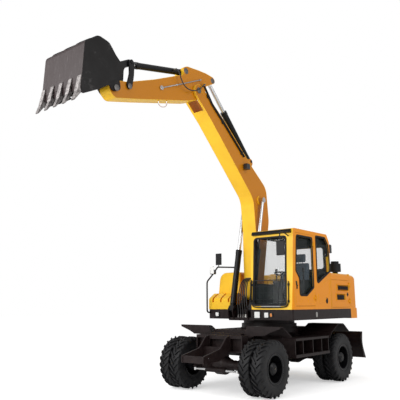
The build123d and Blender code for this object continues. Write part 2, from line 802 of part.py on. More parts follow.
def boom_pipes():
    """Steel pipes in clips along the top plate, and two more down the left flank from the tip."""
    half = boom_width / 2
    pieces = []
    top_route = [(2560, 1122), (1990, 1413), (1290, 1133), (560, 640)]
    for y in (-50, 0, 50):
        points = []
        for s, n in top_route:
            x, z = local(boom_foot, boom_angle, s, n)
            points.append((x, boom_y + y, z))
        pieces.append(tube(points, [360, 530], pipe_radius))
    for s, n, lean in ((2440, 1165, 24), (1700, 1290, -22), (900, 860, -34)):
        clip = [(s - 22, n - 60, 0), (s + 22, n - 60, 0), (s + 22, n + 40, 0), (s - 22, n + 40, 0)]
        x, z = local(boom_foot, boom_angle, s, n)
        block_piece = slab(member(boom_foot, boom_angle, clip), boom_y - 75, boom_y + 75)
        pieces.append(Pos(x, 0, z) * (Rot(0, lean, 0) * (Pos(-x, 0, -z) * block_piece)))
    flank_y = boom_y + half + pipe_stand
    for shift in (0, -36):
        route = [(4600, 225 + shift), (4200, 308 + shift), (3700, 545 + shift), (2900, 895 + shift)]
        points = []
        for s, n in route:
            x, z = local(boom_foot, boom_angle, s, n)
            points.append((x, flank_y, z))
        pieces.append(tube(points, [220, 600], pipe_radius))
    for s, n in ((4380, 240), (3780, 480), (3000, 830)):
        x, z = local(boom_foot, boom_angle, s, n)
        pieces.append(across(x, z, 42, boom_y + half - 10, flank_y + 6))
    return pieces


def crossing_bracket():
    """Plate at the boom's tip that carries the end of the hose which crosses the arm's joint."""
    face = boom_y + boom_width / 2
    rows = [  # s, n, corner radius
        (boom_length - 80, 90, 0),
        (boom_length + 50, 90, 40),
        (boom_length + 115, 235, 30),
        (boom_length + 60, 285, 30),
        (boom_length - 60, 190, 0),
    ]
    plate_piece = slab(member(boom_foot, boom_angle, rows), face - 1, face + 12)
    ahead = Vector(*crossing_end, 0) - Vector(*crossing_before, 0)
    ahead = ahead.normalized()
    ends = []
    for run in (0, crossing_stub):
        x, z = local(boom_tip, arm_angle, crossing_end[0] + run * ahead.X, crossing_end[1] + run * ahead.Y)
        ends.append((x, boom_y + crossing_hose_y, z))
    stub = bar(ends[0], ends[1], crossing_hose_radius + 6)
    x, z = (ends[0][0] + ends[1][0]) / 2, (ends[0][2] + ends[1][2]) / 2
    return [plate_piece, stub, across(x, z, 16, face + 1, boom_y + crossing_hose_y)]


def arm():
    """Box arm: tail lugs, pivot boss, the bucket cylinder's bracket and the tip."""
    half = arm_width / 2
    rows = [  # s, n, corner radius
        (arm_rod_s - 80, arm_rod_n - 40, 70),
        (arm_rod_s - 60, arm_rod_n + 60, 70),
        (-430, 372, 80),
        (-200, 425, 0),
        (165, 490, 40),
        (bucket_base_s + 75, bucket_base_n + 70, 60),
        (bucket_base_s + 85, bucket_base_n - 80, 60),
        (470, 300, 60),
        (1196, 192, 0),
        (side_link_s, 118, 60),
        (arm_length + 40, arm_tip_radius, 120),
        (arm_length + arm_tip_radius, 0, 120),
        (arm_length + 40, -arm_tip_radius - 10, 120),
        (1690, -178, 0),
        (309, -198, 60),
        (0, -175, 120),
        (-150, -80, 60),
        (-290, 95, 80),
    ]
    body = slab(member(boom_tip, arm_angle, rows), boom_y - half, boom_y + half)
    tail_half = arm_cylinder[2] / 2 + plate_gap
    tail_slot = [
        (arm_rod_s - 300, arm_rod_n - 200, 0),
        (arm_rod_s + 175, arm_rod_n - 200, 0),
        (arm_rod_s + 175, arm_rod_n + 250, 0),
        (arm_rod_s - 300, arm_rod_n + 250, 0),
    ]
    body -= slab(member(boom_tip, arm_angle, tail_slot), boom_y - tail_half, boom_y + tail_half)
    top_half = bucket_cylinder[2] / 2 + plate_gap
    top_slot = [
        (bucket_base_s - 85, bucket_base_n - 85, 40),
        (bucket_base_s + 500, bucket_base_n - 85, 0),
        (bucket_base_s + 500, bucket_base_n + 300, 0),
        (bucket_base_s - 85, bucket_base_n + 300, 0),
    ]
    body -= slab(member(boom_tip, arm_angle, top_slot), boom_y - top_half, boom_y + top_half)
    base_hole = bucket_cylinder[5] + running_gap
    body -= across(*bucket_cylinder_base, base_hole, boom_y - half - 1, boom_y + half + 1)
    body -= across(*boom_tip, 45 + running_gap, boom_y - half - 1, boom_y + half + 1)
    body -= across(*bucket_pin, 36, boom_y - half - 1, boom_y + half + 1)
    pin_reach = bucket_ear_gap / 2 + bucket_ear_thickness + 10
    body += across(*bucket_pin, 36, boom_y - pin_reach, boom_y + pin_reach)
    link_reach = half + plate_gap + side_link_thickness + 10
    body += across(*side_link_pin, link_pin_radius, boom_y - link_reach, boom_y + link_reach)
    return body + arm_pipes()


def arm_pipes():
    """Pipe along the left flank from its round union, and the two stubs of the loop under the arm."""
    half = arm_width / 2
    pipe_y = boom_y + half + pipe_stand
    points = []
    for s, n in ((1080, 36), (500, 122), (-60, 213), (-200, 232)):
        x, z = local(boom_tip, arm_angle, s, n)
        points.append((x, pipe_y, z))
    pieces = [tube(points, [1500, 500], pipe_radius)]
    for s, n, radius, proud in ((1080, 36, 40, 14), (620, 104, 18, 10), (-150, 225, 18, 10)):
        x, z = local(boom_tip, arm_angle, s, n)
        pieces.append(across(x, z, radius, boom_y + half - 10, pipe_y + proud))
    for s in loop_hose_s:
        x, z = local(boom_tip, arm_angle, s, -150)
        low_x, low_z = local(boom_tip, arm_angle, s, loop_stub_n)
        y = boom_y + loop_hose_y
        pieces.append(bar((x, y, z), (low_x, y, low_z), loop_hose_radius + 5))
    return pieces


def foot_hoses():
    """Hoses from the manifold on the boom's front plate down to the deck, fanned out as they fall."""
    floor_z = upper_bottom_z + 40
    route = [  # x, z, share of the way from the top's pitch to the foot's
        (manifold_front_x, 2205, 0),
        (manifold_front_x + 120, 2205, 0),
        (manifold_front_x + 235, 2105, 0.2),
        (foot_hose_low_x + 20, 1900, 0.55),
        (foot_hose_low_x + 38, 1690, 0.85),
        (foot_hose_low_x, 1510, 1),
        (foot_hose_low_x, floor_z, 1),
    ]
    hoses = []
    for index in range(foot_hose_count):
        place = index - (foot_hose_count - 1) / 2
        points = []
        for x, z, share in route:
            pitch = foot_hose_top_pitch + share * (foot_hose_low_pitch - foot_hose_top_pitch)
            points.append((x, boom_y + place * pitch, z))
        hoses.append(hose("foot hose", points, hose_radius))
    return hoses


def crossing_hose():
    """From the bucket cylinder's port down the arm's flank, in a loop past the arm's pivot to the boom."""
    route = [  # s, n along the arm, y from the boom's plane
        (560, 417, 95),
        (560, 417, 150),
        (556, 368, 194),
        (549, 292, 204),
        (535, 196, 205),
        (500, 110, 205),
        (432, 38, 205),
        (330, -6, 205),
        (200, -20, 205),
        (55, 5, crossing_hose_y),
        (*crossing_before, crossing_hose_y),
        (*crossing_end, crossing_hose_y),
    ]
    points = []
    for s, n, y in route:
        x, z = local(boom_tip, arm_angle, s, n)
        points.append((x, boom_y + y, z))
    return hose("crossing hose", points, crossing_hose_radius)


def loop_hose():
    """Short loop that hangs under the arm."""
    first, last = loop_hose_s
    route = [  # s, n along the arm
        (first, loop_stub_n),
        (first, loop_stub_n - 56),
        (first - 42, loop_stub_n - 98),
        (first - 115, loop_stub_n - 110),
        (last + 38, loop_stub_n - 96),
        (last, loop_stub_n - 56),
        (last, loop_stub_n),
    ]
    points = []
    for s, n in route:
        x, z = local(boom_tip, arm_angle, s, n)
        points.append((x, boom_y + loop_hose_y, z))
    return hose("loop hose", points, loop_hose_radius)


def port_stub():
    """Port on the bucket cylinder's barrel, where the crossing hose starts."""
    x, z = local(boom_tip, arm_angle, 560, 417)
    return across(x, z, crossing_hose_radius + 5, 40, 95)


def bucket():
    """Digging bucket: wrapped sheet, side plates, lip, adapters with teeth, ears."""
    half = bucket_width / 2
    shell = [  # s, n, corner radius, round the outside of the wrapped sheet
        (1010, 222, 0),
        (652, 790, 110),
        (330, 835, 150),
        (150, 690, 120),
        (100, 470, 60),
        (10, 250, 0),
    ]
    mouth = [(140, 130, 0), (737, 70, 0)]
    body = slab(member(bucket_pin, bucket_angle, shell + mouth), boom_y - half, boom_y + half)
    inner = [
        (1200, 95, 0),
        (1010 - 14, 222 - 26, 0),
        (652 - 14, 790 - 28, 100),
        (330 + 8, 835 - 26, 140),
        (150 + 24, 690 - 10, 110),
        (100 + 24, 470 - 8, 50),
        (60, 240, 0),
        (150, 40, 0),
    ]
    hollow = slab(member(bucket_pin, bucket_angle, inner),
                  boom_y - half + bucket_sheet, boom_y + half - bucket_sheet)
    body -= hollow
    lip = [
        (980, 262, 0),
        (1060, 130, 0),
        (1032, 112, 0),
        (945, 245, 0),
    ]
    body += slab(member(bucket_pin, bucket_angle, lip), boom_y - half, boom_y + half)
    cheek = [
        (1015, 200, 0),
        (1085, 92, 40),
        (1040, 45, 40),
        (700, 40, 60),
        (420, 66, 0),
        (620, 150, 0),
    ]
    for y in (boom_y - half, boom_y + half - 32):
        body += slab(member(bucket_pin, bucket_angle, cheek), y, y + 32)
    strip = [
        (905, 372, 0),
        (640, 803, 100),
        (330, 847, 140),
        (210, 760, 0),
        (240, 720, 0),
        (330, 800, 120),
        (620, 770, 80),
        (885, 350, 0),
    ]
    for share in (-1, 0, 1):
        y = boom_y + share * 0.3 * bucket_width
        body += slab(member(bucket_pin, bucket_angle, strip), y - 35, y + 35)
    ear = [  # s, n, corner radius
        (-85, -60, 80),
        (-190, bucket_ear_n - 60, 70),
        (bucket_ear_s - 60, bucket_ear_n + 80, 70),
        (150, 560, 0),
        (150, 200, 0),
        (90, -40, 80),
    ]
    for side in (1, -1):
        y_from = boom_y + side * bucket_ear_gap / 2
        y_to = y_from + side * bucket_ear_thickness
        plate_ear = slab(member(bucket_pin, bucket_angle, ear), min(y_from, y_to), max(y_from, y_to))
        body += plate_ear - across(*bucket_pin, 36 + running_gap, boom_y - 400, boom_y + 400)
        body += across(*bucket_ear_pin, 56, boom_y + side * (link_half_width + plate_gap), y_to + side * 14)
    return body


def bucket_teeth():
    """Adapters on the lip and their pointed teeth."""
    digging = bucket()
    teeth = []
    span = bucket_width - 96
    for index in range(tooth_count):
        y = boom_y - span / 2 + index * span / (tooth_count - 1)
        adapter = slab(member(bucket_pin, bucket_angle, [
            (955, 326, 20),
            (1142, 108, 0),
            (1100, 66, 0),
            (1046, 108 + 5, 0),
            (1072, 134, 0),
            (984, 266, 0),
            (930, 300, 0),
        ]), y - 42, y + 42)
        point = slab(member(bucket_pin, bucket_angle, [
            (1128, 120, 0),
            (bucket_reach, 8, 0),
            (bucket_reach - 12, -8, 0),
            (1086, 66, 0),
        ]), y - 34, y + 34)
        teeth.append(adapter + point - digging)
    return teeth


def side_links():
    """The two curved plates beside the arm's tip."""
    half = arm_width / 2
    dx, dz = link_joint[0] - side_link_pin[0], link_joint[1] - side_link_pin[1]
    length = math.hypot(dx, dz)
    angle = math.degrees(math.atan2(dz, dx))
    rows = [  # s along the link, n square to it, corner radius
        (-62, 0, 60),
        (0, 64, 60),
        (0.5 * length, 78, 200),
        (length, 64, 60),
        (length + 62, 0, 60),
        (length, -64, 60),
        (0.5 * length, -28, 200),
        (0, -64, 60),
    ]
    links = []
    for side in (1, -1):
        y_from = boom_y + side * (half + plate_gap)
        y_to = y_from + side * side_link_thickness
        link = slab(member(side_link_pin, angle, rows), min(y_from, y_to), max(y_from, y_to))
        link -= across(*side_link_pin, link_pin_radius + running_gap, boom_y - 300, boom_y + 300)
        link += across(*link_joint, link_pin_radius, boom_y + side * link_fork_half, y_to + side * 10)
        links.append(link)
    return links



def bucket_link():
    """The forked link from the side links to the bucket's ears."""
    dx, dz = bucket_ear_pin[0] - link_joint[0], bucket_ear_pin[1] - link_joint[1]
    length = math.hypot(dx, dz)
    angle = math.degrees(math.atan2(dz, dx))
    rows = [  # s along the link, n square to it, corner radius
        (-58, 0, 56),
        (0, 60, 56),
        (length, 58, 56),
        (length + 56, 0, 56),
        (length, -58, 56),
        (0, -60, 56),
    ]
    link = slab(member(link_joint, angle, rows), boom_y - link_half_width, boom_y + link_half_width)
    fork = [(-200, -200, 0), (190, -200, 0), (190, 200, 0), (-200, 200, 0)]
    link -= slab(member(link_joint, angle, fork), boom_y - link_fork_half, boom_y + link_fork_half)
    return link - across(*link_joint, link_pin_radius + running_gap, boom_y - 300, boom_y + 300)


# Door and lid hinges, made about an upright axis, with the leaf on the +X side

hinge_stand = 16


def hinge_leaf():
    """Leaf with its knuckle and a pin that stands out at both ends."""
    leaf = block(0, 60, -hinge_stand - 2, 0, -25, 25)
    return leaf + upright(0, 0, 14, -25, 25) + upright(0, 0, 8, -55, 55)


def hinge_lugs():
    """The two fixed lugs with the holes that the pin turns in."""
    lugs = Part()
    for low in (-55, 27):
        lug = block(-32, 0, -hinge_stand - 2, 0, low, low + 28) + upright(0, 0, 14, low, low + 28)
        lugs += lug - upright(0, 0, 8 + running_gap, low - 1, low + 29)
    return lugs


# Upper structure

def tail_outline(front_x, radius, half_width):
    """Plan of the tail: straight sides, then one arc about the slew axis."""
    side_x = -math.sqrt(radius ** 2 - half_width ** 2)
    edges = [
        Line((front_x, -half_width), (front_x, half_width)),
        Line((front_x, half_width), (side_x, half_width)),
        ThreePointArc((side_x, half_width), (-radius, 0), (side_x, -half_width)),
        Line((side_x, -half_width), (front_x, -half_width)),
    ]
    return make_face(edges)


def counterweight():
    """Cast tail block with a fuller lip along its foot."""
    upper = extrude(Plane.XY.offset(upper_bottom_z) * tail_outline(tail_front_x, tail_radius, upper_half_width),
                    amount=hood_top_z - 10 - upper_bottom_z, dir=(0, 0, 1))
    top_edges = upper.edges().filter_by_position(Axis.Z, hood_top_z - 11, hood_top_z - 9)
    upper = fillet(top_edges.filter_by(lambda edge: edge.center().X < tail_front_x - 1), 110)
    lip = extrude(Plane.XY.offset(upper_bottom_z - 10)
                  * tail_outline(tail_front_x, tail_radius + tail_lip, upper_half_width),
                  amount=230, dir=(0, 0, 1))
    return upper + lip


def upper_frame():
    """Deck with its skirts, open from below, and the brackets of boom and boom cylinders."""
    foot_half = boom_width / 2 + plate_gap
    rows = [  # x, y, corner radius
        (upper_front_left_x, cab_right_y + 10, 0),
        (upper_front_left_x, upper_half_width, 30),
        (tail_front_x, upper_half_width, 0),
        (tail_front_x, -upper_half_width, 0),
        (upper_front_right_x, -upper_half_width, 30),
        (upper_front_right_x, boom_y - 430, 0),
        (640, boom_y - 430, 0),
        (640, cab_right_y + 10, 0),
    ]
    deck = plate(rows, upper_bottom_z, upper_deck_z)
    skirt = upper_skirt
    for y_from, y_to, x_from, x_to in (
            (boom_y + 360, upper_half_width - skirt, 700, upper_front_left_x - skirt),
            (race_radius + 60, upper_half_width - skirt, tail_front_x + skirt, 660),
            (-upper_half_width + skirt, -race_radius - 60, tail_front_x + skirt, upper_front_right_x - skirt),
            (-race_radius + 100, race_radius - 100, tail_front_x + skirt, -race_radius - 60)):
        deck -= block(x_from, x_to, y_from, y_to, upper_bottom_z - 1, upper_deck_z - 40)
    deck += upright(0, 0, race_radius - 45, race_split_z + seat_gap, upper_bottom_z + 1)
    bracket = [  # x, z, corner radius
        (-260, upper_deck_z - 10, 0),
        (boom_foot_x - 130, boom_foot_z + 40, 120),
        (boom_foot_x - 20, boom_foot_z + 110, 110),
        (boom_foot_x + 130, boom_foot_z + 40, 110),
        (640, upper_deck_z + 110, 60),
        (boom_cylinder_foot_x + 20, boom_cylinder_foot_z + 85, 70),
        (boom_cylinder_foot_x + 95, boom_cylinder_foot_z - 20, 70),
        (boom_cylinder_foot_x + 40, upper_bottom_z - 20, 60),
        (400, upper_bottom_z - 20, 0),
        (-260, upper_bottom_z + 20, 0),
    ]
    lug = bracket[4:9]
    for side in (1, -1):
        inner_y = boom_y + side * foot_half
        cheek_y = inner_y + side * cheek_thickness
        deck += slab(bracket, min(inner_y, cheek_y), max(inner_y, cheek_y))
        outer_from = boom_y + side * (boom_cylinder_offset + boom_cylinder[2] / 2 + plate_gap)
        outer_to = outer_from + side * lug_thickness
        deck += slab(lug, min(outer_from, outer_to), max(outer_from, outer_to))
    floor_half = boom_cylinder_offset + boom_cylinder[2] / 2 + plate_gap + lug_thickness
    deck += block(400, boom_cylinder_foot_x + 30, boom_y - floor_half, boom_y + floor_half,
                  upper_bottom_z - 20, upper_bottom_z + 40)
    deck -= upright(0, 0, race_radius - 170, upper_bottom_z + 60, upper_deck_z + 1)
    pin_half = foot_half + cheek_thickness + 4
    deck += across(*boom_foot, boom_foot_pin_radius, boom_y - pin_half, boom_y + pin_half)
    deck -= across(*boom_cylinder_foot, boom_cylinder[5] + running_gap, -600, 400)
    return deck


hood_hinge_x = tail_front_x + hood_sheet + door_gap / 2
side_hinge_z = (1720, 2080)
lid_hinge_y = (-380, 380)


def engine_housing():
    """Fixed frame of the engine bay: bulkhead, roof rails, sills and corner posts."""
    rear = tail_front_x
    wall = hood_sheet
    inside = upper_half_width - 50
    housing = block(hood_front_x - wall, hood_front_x, -upper_half_width, upper_half_width,
                    upper_deck_z, hood_top_z - 5)
    housing += block(rear, rear + wall, -upper_half_width, upper_half_width, upper_deck_z, hood_top_z)
    for z in side_hinge_z:
        lugs = Pos(hood_hinge_x, upper_half_width + hinge_stand, z) * hinge_lugs()
        housing += lugs
        housing += other_side(lugs)
    for y in lid_hinge_y:
        housing += Pos(hood_hinge_x, y, hood_top_z + hinge_stand) * Rot(90, 0, 0) * hinge_lugs()
    for side in (1, -1):
        rail = panel([
            (side * lid_half_width, hood_top_z, 0),
            (side * (upper_half_width), hood_top_z, 100),
            (side * upper_half_width, hood_top_z - 150, 0),
            (side * inside, hood_top_z - 150, 0),
            (side * inside, hood_top_z - wall, 60),
            (side * lid_half_width, hood_top_z - wall, 0),
        ], rear, hood_front_x)
        housing += rail
        housing += block(rear, hood_front_x, min(side * inside, side * upper_half_width),
                         max(side * inside, side * upper_half_width), upper_deck_z, upper_deck_z + 30)
    return housing


door_bottom_z = upper_deck_z + 30 + door_gap
door_top_z = hood_top_z - 150 - door_gap


def side_door(side):
    """Louvred service door of the engine bay, hinged on its front edge."""
    outer = side * upper_half_width
    inner = side * (upper_half_width - 40)
    door = block(tail_front_x + hood_sheet + door_gap, hood_front_x - hood_sheet - door_gap,
                 min(outer, inner), max(outer, inner), door_bottom_z, door_top_z)
    table = (  # front x, rear x, bottom z, top z of each louvre window
        (-960, -1540, 1945, 2075),
        (-915, -1350, 1745, 1875),
    )
    for front_x, rear_x, low, high in table:
        door += block(rear_x - 22, front_x + 22, min(outer, outer + side * louvre_proud),
                      max(outer, outer + side * louvre_proud), low - 22, high + 22)
        door -= block(rear_x, front_x, min(outer, inner) - 20, max(outer, inner) + 20, low, high)
        slat_count = 4
        for index in range(slat_count):
            z = low + (index + 0.5) * (high - low) / slat_count
            middle = (outer + inner) / 2
            slat = Pos((front_x + rear_x) / 2, middle, z) * Rot(side * 38, 0, 0) * Box(front_x - rear_x + 4, 30, 6)
            door += slat
    for z in side_hinge_z:
        leaf = Pos(hood_hinge_x, upper_half_width + hinge_stand, z) * hinge_leaf()
        door += leaf if side == 1 else other_side(leaf)
    return door


def hood_lid():
    """Top lid of the engine bay."""
    half = lid_half_width - door_gap
    front = hood_front_x - hood_sheet - door_gap
    rear = tail_front_x + hood_sheet + door_gap
    lid = plate([(front, -half, 30), (front, half, 30), (rear, half, 30), (rear, -half, 30)],
                hood_top_z - hood_sheet, hood_top_z)
    lid += plate([(front - 90, -half + 90, 60), (front - 90, half - 90, 60),
                  (rear + 90, half - 90, 60), (rear + 90, -half + 90, 60)], hood_top_z - 1, hood_top_z + 22)
    for y in lid_hinge_y:
        lid += Pos(hood_hinge_x, y, hood_top_z + hinge_stand) * Rot(90, 0, 0) * hinge_leaf()
    return lid


def engine_block():
    """The engine as one plain block on its two bearers."""
    body = block(-1480, -780, -420, 300, 1680, 2200)
    for x in (-1380, -900):
        body += block(x - 40, x + 40, -420, 300, upper_deck_z, 1690)
    return body


def right_tank():
    """Stepped box ahead of the tank on the right, and the rounded tank behind it."""
    box = slab([
        (-640, upper_deck_z, 0),
        (upper_front_right_x, upper_deck_z, 0),
        (upper_front_right_x, 1780, 70),
        (upper_front_right_x - 200, 1900, 30),
        (-640, 1900, 0),
    ], -upper_half_width, boom_y - 430)
    for y in (-1080, -860, -650):
        groove = slab([
            (upper_front_right_x + 20, 1700, 0),
            (upper_front_right_x - 18, 1700, 0),
            (upper_front_right_x - 230, 1872, 0),
            (upper_front_right_x - 230, 1960, 0),
            (upper_front_right_x + 20, 1960, 0),
        ], y - 20, y + 20)
        box -= groove
    dome = panel([
        (boom_y - 430, 1890, 0),
        (boom_y - 430, 2375, 60),
        (-upper_half_width + 70, 2375, 190),
        (-upper_half_width + 10, 1890, 0),
    ], hood_front_x + 4, 290)
    front_edges = dome.edges().filter_by_position(Axis.X, 289, 291)
    dome = fillet(front_edges.filter_by(lambda edge: edge.center().Z > 1900), 60)
    return box + dome


# Cab

def cab_rows(inset):
    """Side outline of the cab, drawn in by the inset."""
    i = inset
    return [  # x, z, corner radius
        (cab_rear_x + i, upper_deck_z + i, 0),
        (cab_front_x - i, upper_deck_z + i, 0),
        (cab_front_x - i - cab_front_lean, cab_roof_z - i, 60),
        (cab_rear_x + 90 + i, cab_roof_z - i, 60),
        (cab_rear_x - 25 + i, cab_roof_z - 170 - i / 2, 80),
        (cab_rear_x - 45 + i, hood_top_z + 65, 20),
        (cab_rear_x - 10 + i, hood_top_z + 10, 0),
    ]


def cab_plan(inset, radius):
    i = inset
    return [
        (cab_front_x + 20 - i, cab_right_y + i, radius),
        (cab_front_x + 20 - i, cab_left_y - i, radius),
        (cab_rear_x - 60 + i, cab_left_y - i, radius / 2),
        (cab_rear_x - 60 + i, cab_right_y + i, radius / 2),
    ]


def front_x_at(z, inset=0):
    """Front face of the cab at a height, or the inside of its front wall."""
    share = (z - upper_deck_z - inset) / (cab_roof_z - upper_deck_z - 2 * inset)
    return cab_front_x - inset - cab_front_lean * share


front_glass_y = (cab_right_y + 68, cab_left_y - 150)
front_glass_z = (1630, 3010)
door_hinge_x = pillar_middle_x + door_gap / 2
door_hinge_y = cab_left_y + hinge_stand
door_hinge_z = (1780, 2880)
door_rows = [  # x, z, corner radius of the doorway
    (pillar_front_x, sill_z + 520, 20),
    (pillar_front_x - 75, cab_roof_z - 80, 60),
    (pillar_middle_x, cab_roof_z - 80, 40),
    (pillar_middle_x, sill_z, 40),
    (pillar_front_x, sill_z, 40),
]
rear_side_glass = [  # x, z, corner radius
    (-20, 3085, 40),
    (-455, 3085, 60),
    (-600, 2930, 80),
    (-650, 2480, 60),
    (-640, 2350, 50),
    (-20, 2065, 50),
]
door_glass = [  # x, z, corner radius
    (pillar_middle_x + 60, cab_roof_z - 130, 40),
    (pillar_front_x - 125, cab_roof_z - 130, 60),
    (pillar_front_x - 55, 2310, 50),
    (pillar_front_x - 190, 2165, 60),
    (pillar_front_x - 195, 1820, 60),
    (440, 1820, 80),
    (pillar_middle_x + 60, 1990, 60),
]
right_glass = [  # x, z, corner radius
    (820, 2050, 50),
    (760, 3060, 60),
    (-460, 3060, 60),
    (-540, 2450, 60),
    (-500, 2050, 50),
]


def pulled_in(rows, by):
    """The same outline drawn towards its middle by a distance."""
    face = offset(outline(rows), amount=-by)
    return face


def cab_shell():
    """Hollow cab with its window openings and the doorway cut through."""
    outer = slab(cab_rows(0), cab_right_y, cab_left_y)
    outer = outer & plate(cab_plan(0, cab_corner_radius), upper_deck_z, cab_roof_z)
    inner = slab(cab_rows(cab_wall), cab_right_y + cab_wall, cab_left_y - cab_wall)
    shell = outer - inner
    y_from, y_to = front_glass_y
    z_from, z_to = front_glass_z
    shell -= panel([
        (y_from, z_from, 70), (y_to, z_from, 70), (y_to, z_to, 70), (y_from, z_to, 70),
    ], cab_front_x - cab_front_lean - cab_wall - 60, cab_front_x + 50)
    shell -= slab(door_rows, cab_left_y - cab_wall - 20, cab_left_y + 20)
    shell -= slab(rear_side_glass, cab_left_y - cab_wall - 20, cab_left_y + 20)
    for z in door_hinge_z:
        shell += Pos(door_hinge_x, door_hinge_y, z) * hinge_lugs()
    shell -= slab(right_glass, cab_right_y - 20, cab_right_y + cab_wall + 20)
    shell -= panel([
        (cab_right_y + 140, 2420, 60), (cab_left_y - 140, 2420, 60),
        (cab_left_y - 140, 2890, 60), (cab_right_y + 140, 2890, 60),
    ], cab_rear_x - 80, cab_rear_x + 90)
    return shell


def cab_door():
    """Door panel with its window cut out and a bar for the hand."""
    gap = door_gap
    rows = [
        (pillar_front_x - gap, sill_z + 520, 20),
        (pillar_front_x - 75 - gap, cab_roof_z - 80 - gap, 55),
        (pillar_middle_x + gap, cab_roof_z - 80 - gap, 35),
        (pillar_middle_x + gap, sill_z + gap, 35),
        (pillar_front_x - gap, sill_z + gap, 35),
    ]
    door = slab(rows, cab_left_y - door_thickness, cab_left_y)
    door -= slab(door_glass, cab_left_y - door_thickness - 10, cab_left_y + 10)
    recess = slab([
        (pillar_front_x - 45, 1950, 15), (pillar_front_x - 45, 2110, 15),
        (pillar_front_x - 120, 2110, 15), (pillar_front_x - 120, 1950, 15),
    ], cab_left_y - 22, cab_left_y + 10)
    door -= recess
    door += block(pillar_front_x - 95, pillar_front_x - 70, cab_left_y - 23, cab_left_y - 4, 1975, 2090)
    for z in door_hinge_z:
        door += Pos(door_hinge_x, door_hinge_y, z) * hinge_leaf()
    return door


def door_pane():
    sheet = pulled_in(door_glass, -14)
    side = Plane(origin=(0, cab_left_y - door_thickness, 0), x_dir=(1, 0, 0), z_dir=(0, -1, 0))
    return extrude(side * sheet, amount=glass_thickness, dir=(0, -1, 0))


def cab_glass():
    """Fixed panes, each against the inside of its wall."""
    left = Plane(origin=(0, cab_left_y - cab_wall, 0), x_dir=(1, 0, 0), z_dir=(0, -1, 0))
    right = Plane(origin=(0, cab_right_y + cab_wall + glass_thickness, 0), x_dir=(1, 0, 0), z_dir=(0, -1, 0))
    grown = 12
    # The rear quarter pane stops short of the sloping rear wall
    quarter = [
        (-8, 3085 + grown, 40), (-445, 3085 + grown, 60), (-560, 2925, 60),
        (-590, 2480, 60), (-585, 2330, 50), (-8, 2050, 50),
    ]
    panes = [
        extrude(left * outline(quarter), amount=glass_thickness, dir=(0, -1, 0)),
        extrude(right * pulled_in(right_glass, -grown), amount=glass_thickness, dir=(0, -1, 0)),
    ]
    y_from, y_to = front_glass_y
    z_from, z_to = front_glass_z[0] - grown, front_glass_z[1] + grown
    strip = [
        (front_x_at(z_from, cab_wall), z_from, 0),
        (front_x_at(z_to, cab_wall), z_to, 0),
        (front_x_at(z_to, cab_wall) - glass_thickness, z_to, 0),
        (front_x_at(z_from, cab_wall) - glass_thickness, z_from, 0),
    ]
    panes.append(slab(strip, y_from - grown, y_to + grown))
    rear_low, rear_high = cab_rear_x - 45 + cab_wall, cab_rear_x - 25 + cab_wall
    rear = [
        (rear_low + 1, 2408, 0), (rear_high - 1, 2908, 0),
        (rear_high - 1 + glass_thickness, 2908, 0), (rear_low + 1 + glass_thickness, 2408, 0),
    ]
    panes.append(slab(rear, cab_right_y + 128, cab_left_y - 128))
    return panes


def cab_visor():
    """Dark eave over the windscreen."""
    low = front_x_at(cab_roof_z - 105)
    return slab([
        (low - 12, cab_roof_z - 105, 0),
        (low + 62, cab_roof_z - 88, 12),
        (low + 30, cab_roof_z - 14, 20),
        (low - 12, cab_roof_z - 30, 0),
    ], cab_right_y + 40, cab_left_y - 40)


def seat():
    """Operator's seat with its base, back and head rest."""
    y = cab_middle_y - 10
    pieces = block(-250, 250, y - 230, y + 230, upper_deck_z + cab_wall, 1860)
    pieces += slab([(-230, 1850, 0), (290, 1850, 40), (290, 1990, 60), (-230, 1970, 0)], y - 250, y + 250)
    pieces += slab([(-300, 1860, 30), (-170, 1900, 30), (-240, 2560, 60), (-350, 2560, 60)], y - 235, y + 235)
    pieces += slab([(-345, 2550, 0), (-250, 2550, 0), (-265, 2760, 50), (-350, 2760, 50)], y - 120, y + 120)
    return pieces


def console():
    """Arm rests with levers, steering column and wheel, and the pedals."""
    y = cab_middle_y - 10
    pieces = []
    for side in (1, -1):
        rest = block(-160, 300, y + side * 325 - 60, y + side * 325 + 60, upper_deck_z + cab_wall, 2150)
        rest += upright(230, y + side * 325, 16, 2140, 2330)
        rest += upright(230, y + side * 325, 28, 2320, 2400)
        pieces.append(rest)
    column = bar((636, y, upper_deck_z + cab_wall + 20), (520, y, 2260), 42)
    wheel_plane = Plane(origin=(516, y, 2276), z_dir=(-0.18, 0, 0.98))
    column += wheel_plane * Torus(165, 15)
    column += wheel_plane * Box(320, 26, 14)
    column += wheel_plane * Cylinder(38, 34)
    column += block(560, 720, y - 130, y + 130, upper_deck_z + cab_wall, 1660)
    pieces.append(column)
    return pieces


def front_guard():
    """Wire guard over the foot of the windscreen, in a rounded frame."""
    y_from, y_to = front_glass_y[0] - 12, front_glass_y[1] + 12
    z_from, z_to = front_glass_z[0] - 12, 2140
    depth = 16
    rows = [(y_from, z_from, 60), (y_to, z_from, 60), (y_to, z_to, 20), (y_from, z_to, 20)]
    inner = [(y_from + 18, z_from + 18, 50), (y_to - 18, z_from + 18, 50),
             (y_to - 18, z_to - 18, 10), (y_from + 18, z_to - 18, 10)]
    frame = panel(rows, 0, depth) - panel(inner, -1, depth + 1)
    bars = 9
    for index in range(1, bars):
        y = y_from + index * (y_to - y_from) / bars
        frame += block(5, 11, y - 3, y + 3, z_from + 6, z_to - 6)
    rails = 4
    for index in range(1, rails):
        z = z_from + index * (z_to - z_from) / rails
        frame += block(5, 11, y_from + 6, y_to - 6, z - 3, z + 3)
    lean = math.degrees(math.atan2(cab_front_lean, cab_roof_z - upper_deck_z))
    frame = Pos(0, 0, -z_from) * frame
    frame = Rot(0, -lean, 0) * frame
    return Pos(front_x_at(z_from) + seat_gap, 0, z_from) * frame


# Fittings

